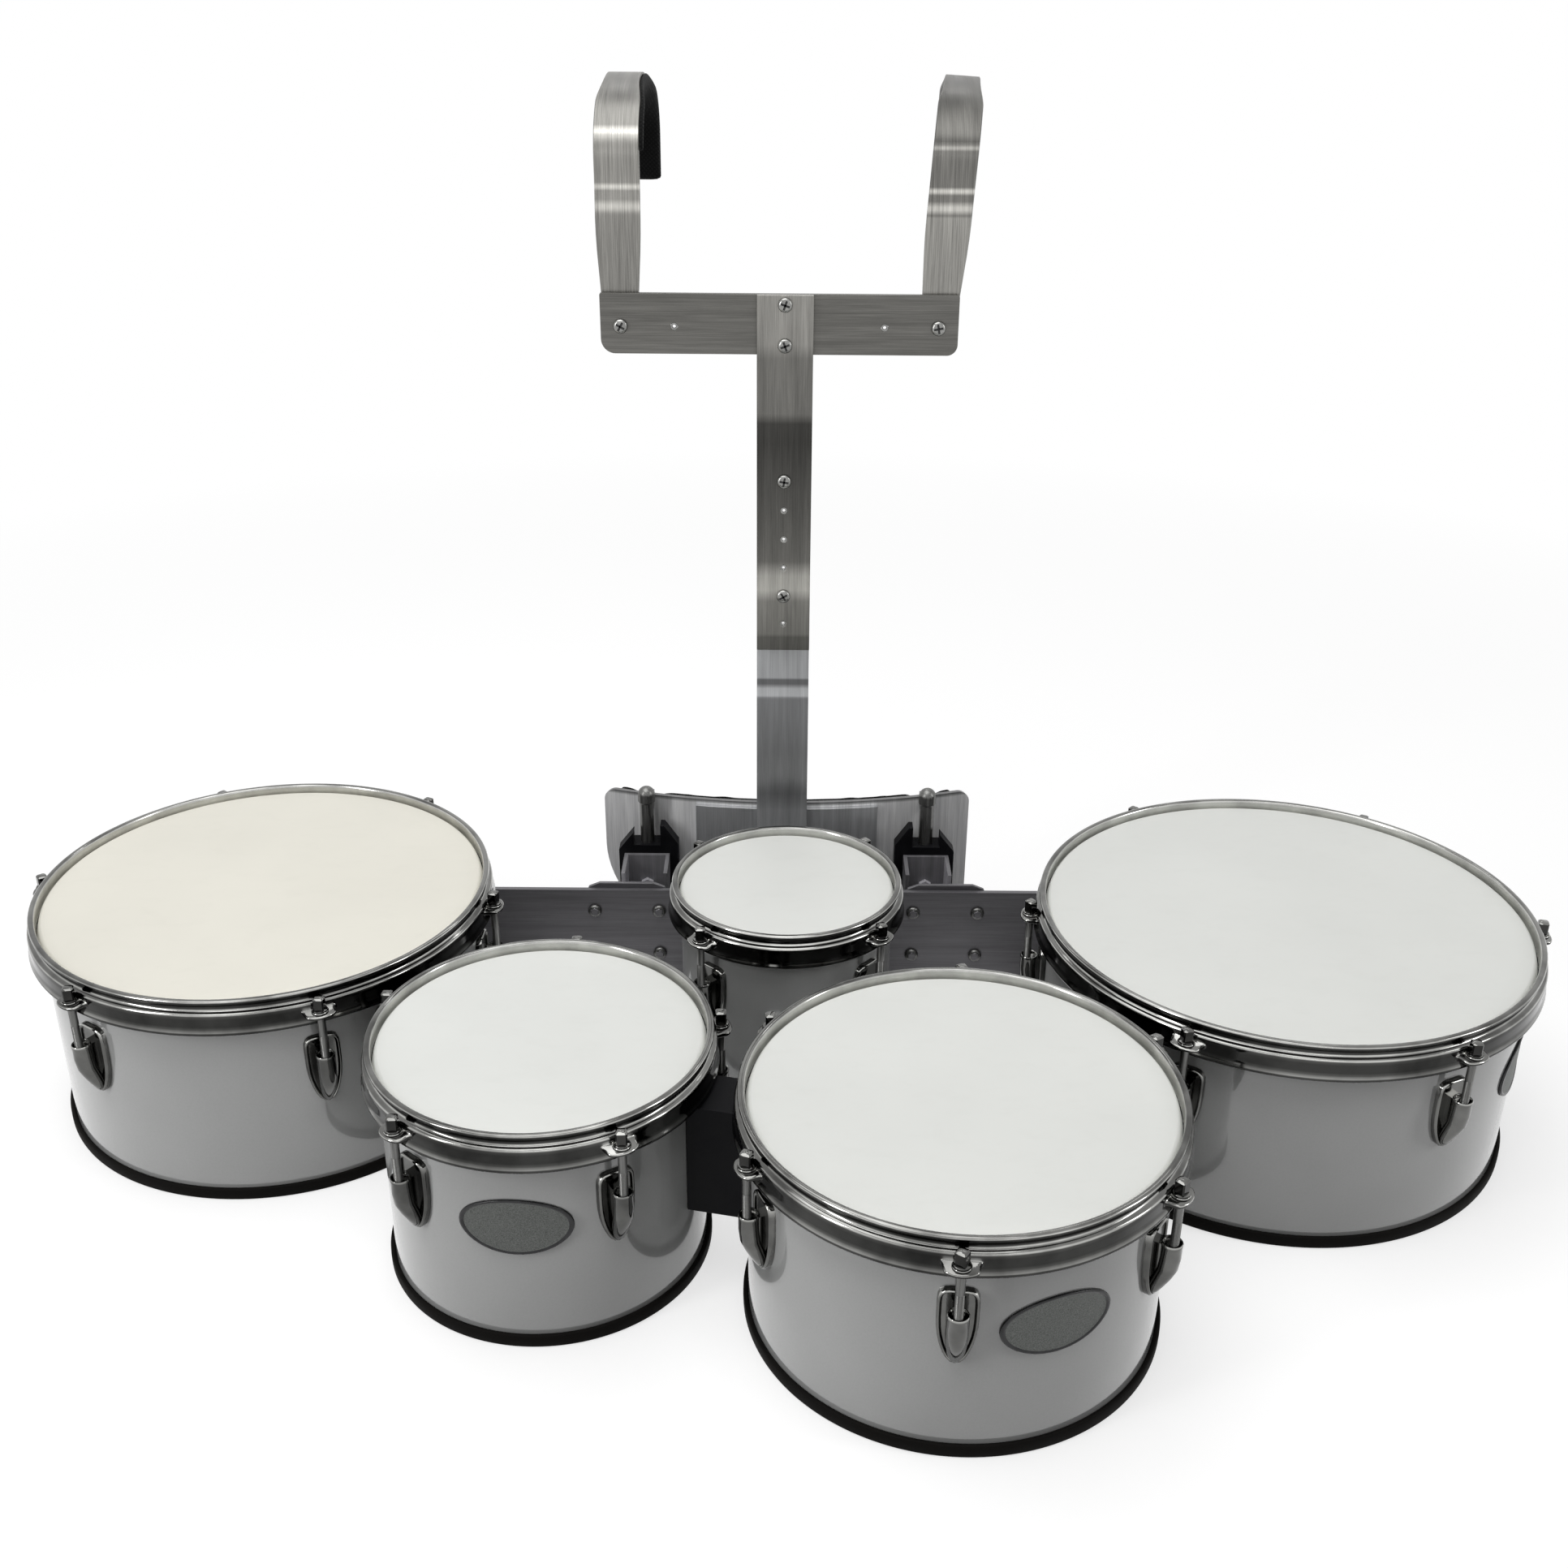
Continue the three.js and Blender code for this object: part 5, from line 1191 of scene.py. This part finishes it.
class TENOR_OT_shoulder_bars(bpy.types.Operator):
    """Bends the two flat bars that hook over the shoulders"""

    bl_idname = "tenor.shoulder_bars"
    bl_label = "Shoulder bars"

    def execute(self, context):
        for side, _ in SIDES:
            node = f"{side}_shoulder_bar"
            mesh = along_hook(hook_path(), side, bar_section).mesh(node)
            finished(f"{node}_piece", mesh, f"{side}_shoulder_hook", hook_metal(side), node,
                     sharp=40)
        return {"FINISHED"}


def swollen(name, mesh, swell, cell=None):
    """A pad that swells under pressure from the mesh's shape; cell evens out its skin first"""
    piece = bpy.data.objects.new(name, mesh)
    bpy.context.scene.collection.objects.link(piece)
    if cell:
        remesh = piece.modifiers.new("even skin", "REMESH")
        remesh.mode, remesh.voxel_size = "VOXEL", cell
        applied(piece)
    rest = [v.co.copy() for v in piece.data.vertices]
    cloth = piece.modifiers.new("swell", "CLOTH")
    cloth.settings.use_pressure = True
    cloth.settings.uniform_pressure_force = 4.0
    cloth.settings.effector_weights.gravity = 0.0
    cloth.settings.quality = 5
    scene = bpy.context.scene
    for step in range(1, 15):
        scene.frame_set(step)
    applied(piece)
    scene.frame_set(1)
    for vertex, start in zip(piece.data.vertices, rest):
        move = vertex.co - start
        if move.length > swell:
            vertex.co = start + move.normalized() * swell
    return piece, rest


def applied(piece):
    """Turns what the piece's modifiers make into its own mesh"""
    graph = bpy.context.evaluated_depsgraph_get()
    mesh = bpy.data.meshes.new_from_object(piece.evaluated_get(graph))
    piece.modifiers.clear()
    piece.data = mesh


def pad_done(piece, node, body):
    smooth = piece.modifiers.new("soft", "SMOOTH")
    smooth.factor, smooth.iterations = 0.5, 5
    applied(piece)
    finer = piece.modifiers.new("finer", "SUBSURF")
    finer.levels = finer.render_levels = 1
    applied(piece)
    piece.data.materials.clear()
    piece.data.materials.append(pad_cloth())
    piece.data.shade_smooth()
    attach(piece, body)
    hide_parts(node)


def belly_cushion():
    """The belly pad before it swells: it follows the plate's bend and outline, with drawn in sides and a crown"""
    low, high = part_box("belly_pad")
    plate_low, plate_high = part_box("belly_plate")
    middle, half = (plate_low.x + plate_high.x) / 2, (high.x - low.x) / 2 + PAD_MARGIN
    centre, tall = (low.z + high.z) / 2, (high.z - low.z) / 2
    corners = round_outline(-half, half, low.z, high.z, (0.073, 0.026, 0.010, 0.010), 16)
    drawn = []
    for a, b in zip(corners, corners[1:] + corners[:1]):
        count = max(1, round(math.dist(a, b) / 0.005))
        for step in range(count):
            x, z = between(a, b, step / count)
            across, up = x / half, (z - centre) / tall
            drawn.append((x - across * 0.0026 * (1 - up ** 2), z - up * 0.0020 * (1 - across ** 2)))
    rings = []
    for share, rise in ((0.1, 0), (0.4, 0), (0.7, 0), (0.98, 0), (1, 0.12), (1, 0.36), (0.975, 0.62), (0.93, 0.8),
                        (0.85, 0.88), (0.7, 0.94), (0.5, 0.99), (0.1, 1)):
        ring, radius = [], PAD_FRONT - rise * PAD_THICK
        for x, z in drawn:
            angle, up = math.asin(x * share / PAD_FRONT), centre + (z - centre) * share
            ring.append((middle + radius * math.sin(angle), BEND_Y - radius * math.cos(angle), up))
        rings.append(ring)
    return Shape().rings(rings).mesh("belly_cushion")


class TENOR_OT_belly_pad(bpy.types.Operator):
    """Swells the pad behind the belly plate, flat where it lies on the plate"""

    bl_idname = "tenor.belly_pad"
    bl_label = "Belly pad"

    def execute(self, context):
        piece, rest = swollen("belly_cushion", belly_cushion(), carrier().pad_swell, carrier().pad_cell)
        low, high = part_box("belly_pad")
        middle, top, plate_top = (low.x + high.x) / 2, high.z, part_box("belly_plate")[1].z
        rods = [centre_of(f"carrier_rod_{side}").x for side, _ in SIDES]
        screws, nut_round, nut_deep = [centre_of(f"belly_screw_{k}") for k in (1, 2)], 0.0085, 0.0036
        for vertex, start in zip(piece.data.vertices, rest):
            if math.hypot(start.x - middle, start.y - BEND_Y) > PAD_FREE:
                vertex.co = start
                if min(math.hypot(start.x - s.x, start.z - s.z) for s in screws) < nut_round:
                    vertex.co.y += nut_deep
            vertex.co.z = min(vertex.co.z, top + PAD_MARGIN)
            # The upper edge rises above the plate, less so at its ends, and stays low at the rods' brackets
            clear = smooth_step((min(abs(start.x - x) for x in rods) - 0.008) / 0.006)
            lift = plate_top + 0.0045 - 0.0030 * smooth_step((abs(start.x - middle) - 0.095) / 0.02) - top
            vertex.co.z += lift * clear * smooth_step((start.z - top + 0.020) / 0.018)
        pad_done(piece, "belly_pad", "belly_carrier")
        return {"FINISHED"}


def even_line(line, step):
    """Points on the line at equal steps"""
    even, left = [line[0]], step
    for a, b in zip(line, line[1:]):
        length = math.dist(a, b)
        while left <= length:
            even.append(between(a, b, left / length))
            left += step
        left -= length
    return even


def shoulder_cushion(side):
    """A crowned pad under a hook bar; the left one also laps round the bar's inner edge"""
    line = hook_path()
    start = next(i for i, (_, up) in enumerate(line) if up > CUSHION_START)
    line = even_line([*line[start:], (HOOK_TIP, 0.0735)], CUSHION_STEP)
    plain = [(-2.4, 0.0), (-1.7, 0.0), (-1.1, 0.1), (-0.7, 0.4), (-0.5, 1.0), (-0.4, 2.0), (-0.3, 4.4), (-0.8, 7.6)]
    lapped = [(0.1, 0.0), (0.5, -2.2), (1.0, -4.1), (2.1, -4.0), (2.9, -2.0), (3.1, 1.2), (3.0, 4.4), (1.8, 7.6)]

    def section(index, wide):
        full = (0.42, 0.80, 0.95, 1.0)[min(index, len(line) - 1 - index, 3)]
        halves = []
        for sign, rim in ((1, lapped if side == "left" else plain), (-1, plain)):
            half = [(x / 15.5 * wide, 0.0) for x in (4.0, 8.0, 12.0)] + [(wide + x * MM, t) for x, t in rim]
            half += [(wide * 0.82, 10.2 * full), (wide * 0.55, 11.6 * full), (wide * 0.27, 12.2 * full)]
            halves.append([(sign * x, t * (full if t > 0 else 1)) for x, t in half])
        ring = [(0.0, 0.0), *halves[0], (0.0, 12.3 * full), *reversed(halves[1])]
        return [(x, -(2.3 + t) * MM) for x, t in ring]

    return along_hook(line, side, section).mesh(side)


class TENOR_OT_shoulder_pads(bpy.types.Operator):
    """Swells the pads that line the shoulder hooks"""

    bl_idname = "tenor.shoulder_pads"
    bl_label = "Shoulder pads"

    def execute(self, context):
        for side, _ in SIDES:
            piece, rest = swollen(f"{side}_shoulder_cushion", shoulder_cushion(side), carrier().pad_swell * 0.5)
            for index, (vertex, start) in enumerate(zip(piece.data.vertices, rest)):
                if min(index % CUSHION_RING, -index % CUSHION_RING) <= CUSHION_FLAT:
                    vertex.co = start
            pad_done(piece, f"{side}_shoulder_pad", f"{side}_shoulder_hook")
        return {"FINISHED"}


# ---------------------------------------------------------------- stage

# Name, width and length, setting with the power and share of it, place, and target of each lamp
LAMPS = (
    ("soft_box", (2.4, 2.0), "key", 1.0, (-0.4, -0.15, 2.6), (0, 0, 0.1)),
    ("side_left", (0.30, 1.2), "side", 1.0, (-1.45, -1.05, 0.95), (-0.2, 0, 0.1)),
    ("side_right", (0.30, 1.2), "side", 0.8, (2.1, -0.55, 1.1), (0, 0, 0.1)),
    ("strip_back", (1.8, 0.10), "strip", 1.0, (0.2, 1.6, 1.9), (0, 0, 0.2)),
    ("strip_front", (1.6, 0.08), "strip", 0.3, (0.1, -2.1, 1.35), (0, 0, 0.2)),
)
FLOOR_HALF = 40.0  # half the floor's width
FADE_START, FADE_END = 0.7, 1.8  # distances from the middle where the floor's look fades to white
# The camera's place and its turns down and about its view, solved from the heads in the photo
CAMERA_PLACE, CAMERA_PITCH, CAMERA_ROLL = (0.002821, -1.05024, 0.76921), 0.454851, -0.0075931


def lamp(name, size, power, place, target):
    data = bpy.data.lights.new(name, "AREA")
    data.shape, data.size, data.size_y, data.energy = "RECTANGLE", *size, power
    made = bpy.data.objects.new(name, data)
    made.location = place
    made.rotation_mode = "QUATERNION"
    made.rotation_quaternion = (Vector(target) - Vector(place)).to_track_quat("-Z", "Y")
    bpy.context.scene.collection.objects.link(made)


def seen_directly(n):
    """1 for rays from the camera, mirrors and glass, and 0 for the rest"""
    path = n.node("ShaderNodeLightPath").outputs
    larger = path["Is Camera Ray"]
    for name in ("Is Glossy Ray", "Is Transmission Ray"):
        larger = n.node("ShaderNodeMath", {0: larger, 1: path[name]}, operation="MAXIMUM").outputs[0]
    return larger


def floor_material(floor):
    """Throws back the given colour, and looks pale, then white further out, where it is seen directly"""
    n = Nodes(bpy.data.materials.new("floor"))
    n.tree.nodes.clear()
    plain = n.node("ShaderNodeBsdfDiffuse", {"Color": floor})
    pale = n.node("ShaderNodeBsdfDiffuse", {"Color": (0.45, 0.45, 0.45)})
    glow = n.node("ShaderNodeEmission", {"Color": WHITE, "Strength": 0.66})
    white = n.node("ShaderNodeEmission", {"Color": WHITE, "Strength": 1.0})
    place = n.node("ShaderNodeTexCoord").outputs["Object"]
    reach = n.node("ShaderNodeVectorMath", {0: place}, operation="LENGTH").outputs["Value"]
    far = n.node("ShaderNodeMapRange", {"Value": reach, "From Min": FADE_START, "From Max": FADE_END}).outputs["Result"]
    near = n.node("ShaderNodeAddShader", {0: pale.outputs[0], 1: glow.outputs[0]})
    seen = n.node("ShaderNodeMixShader", {0: far, 1: near.outputs[0], 2: white.outputs[0]})
    mix = n.node("ShaderNodeMixShader", {0: seen_directly(n), 1: plain.outputs[0], 2: seen.outputs[0]})
    n.node("ShaderNodeOutputMaterial", {"Surface": mix.outputs[0]})
    return n.owner


def studio(sky):
    """A world that lights with the given strength and is white where it is seen directly"""
    n = Nodes(bpy.data.worlds.new("studio"))
    n.tree.nodes.clear()
    dim = n.node("ShaderNodeBackground", {"Color": WHITE, "Strength": sky})
    white = n.node("ShaderNodeBackground", {"Color": WHITE, "Strength": 1.0})
    mix = n.node("ShaderNodeMixShader", {0: seen_directly(n), 1: dim.outputs[0], 2: white.outputs[0]})
    n.node("ShaderNodeOutputWorld", {"Surface": mix.outputs[0]})
    return n.owner


class TENOR_OT_stage(bpy.types.Operator):
    """Lays the floor, sets the light and places the camera"""

    bl_idname = "tenor.stage"
    bl_label = "Floor, light and camera"

    def execute(self, context):
        scene, stage, size = context.scene, context.scene.tenor_stage, FLOOR_HALF
        corners = [(-size, -size, 0), (size, -size, 0), (size, size, 0), (-size, size, 0)]
        floor = bpy.data.objects.new("floor", mesh_of("floor", corners, [(0, 1, 2, 3)]))
        floor.location.z = -0.0002  # just under the trims
        scene.collection.objects.link(floor)
        floor.data.materials.append(floor_material(stage.floor))
        scene.world = studio(stage.sky)
        for name, measure, setting, share, place, target in LAMPS:
            lamp(name, measure, getattr(stage, setting) * share, place, target)

        camera = bpy.data.objects.new("camera", bpy.data.cameras.new("camera"))
        camera.data.lens, camera.data.sensor_width = stage.lens, 36.0
        forward = Vector((0, math.cos(CAMERA_PITCH), -math.sin(CAMERA_PITCH)))
        right, down = Vector((1, 0, 0)), Vector((0, -math.sin(CAMERA_PITCH), -math.cos(CAMERA_PITCH)))
        across = math.cos(CAMERA_ROLL) * right + math.sin(CAMERA_ROLL) * down
        upward = math.sin(CAMERA_ROLL) * right - math.cos(CAMERA_ROLL) * down
        turn = Matrix((across, upward, -forward)).transposed().to_4x4()
        camera.matrix_world = Matrix.Translation(CAMERA_PLACE) @ turn
        scene.collection.objects.link(camera)
        scene.camera = camera
        scene.view_settings.view_transform = "Standard"
        return {"FINISHED"}


# ---------------------------------------------------------------- add-on


OPERATORS = (
    TENOR_OT_stage, TENOR_OT_shells, TENOR_OT_heads, TENOR_OT_hoops, TENOR_OT_tension_rods, TENOR_OT_lugs,
    TENOR_OT_trims, TENOR_OT_badges, TENOR_OT_rack, TENOR_OT_spacers, TENOR_OT_clamps, TENOR_OT_carrier_rods,
    TENOR_OT_belly_plate, TENOR_OT_spine, TENOR_OT_fasteners, TENOR_OT_shoulder_bars, TENOR_OT_belly_pad,
    TENOR_OT_shoulder_pads,
)
GROUPS = {
    "tenor_drum_sizes": TenorDrumSizes, "tenor_carrier_sizes": TenorCarrierSizes, "tenor_finishes": TenorFinishes,
    "tenor_stage": TenorStage,
}


class TENOR_PT_panel(bpy.types.Panel):
    """Lists the steps that build the tenor drums"""

    bl_idname = "TENOR_PT_panel"
    bl_label = "Tenor Drums"
    bl_space_type = "VIEW_3D"
    bl_region_type = "UI"
    bl_category = "Tenor Drums"

    def draw(self, context):
        for operator in OPERATORS:
            self.layout.operator(operator.bl_idname)
        for group in GROUPS:
            box, settings = self.layout.box(), getattr(context.scene, group)
            for name in settings.bl_rna.properties.keys():
                if name not in ("rna_type", "name"):
                    box.prop(settings, name)


CLASSES = (*GROUPS.values(), *OPERATORS, TENOR_PT_panel)


def register():
    for kind in CLASSES:
        bpy.utils.register_class(kind)
    for name, group in GROUPS.items():
        setattr(bpy.types.Scene, name, PointerProperty(type=group))


def unregister():
    for name in GROUPS:
        delattr(bpy.types.Scene, name)
    for kind in reversed(CLASSES):
        bpy.utils.unregister_class(kind)


def main():
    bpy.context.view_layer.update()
    register()
    for operator in OPERATORS:
        group, name = operator.bl_idname.split(".")
        getattr(getattr(bpy.ops, group), name)()


if __name__ == "__main__":
    main()
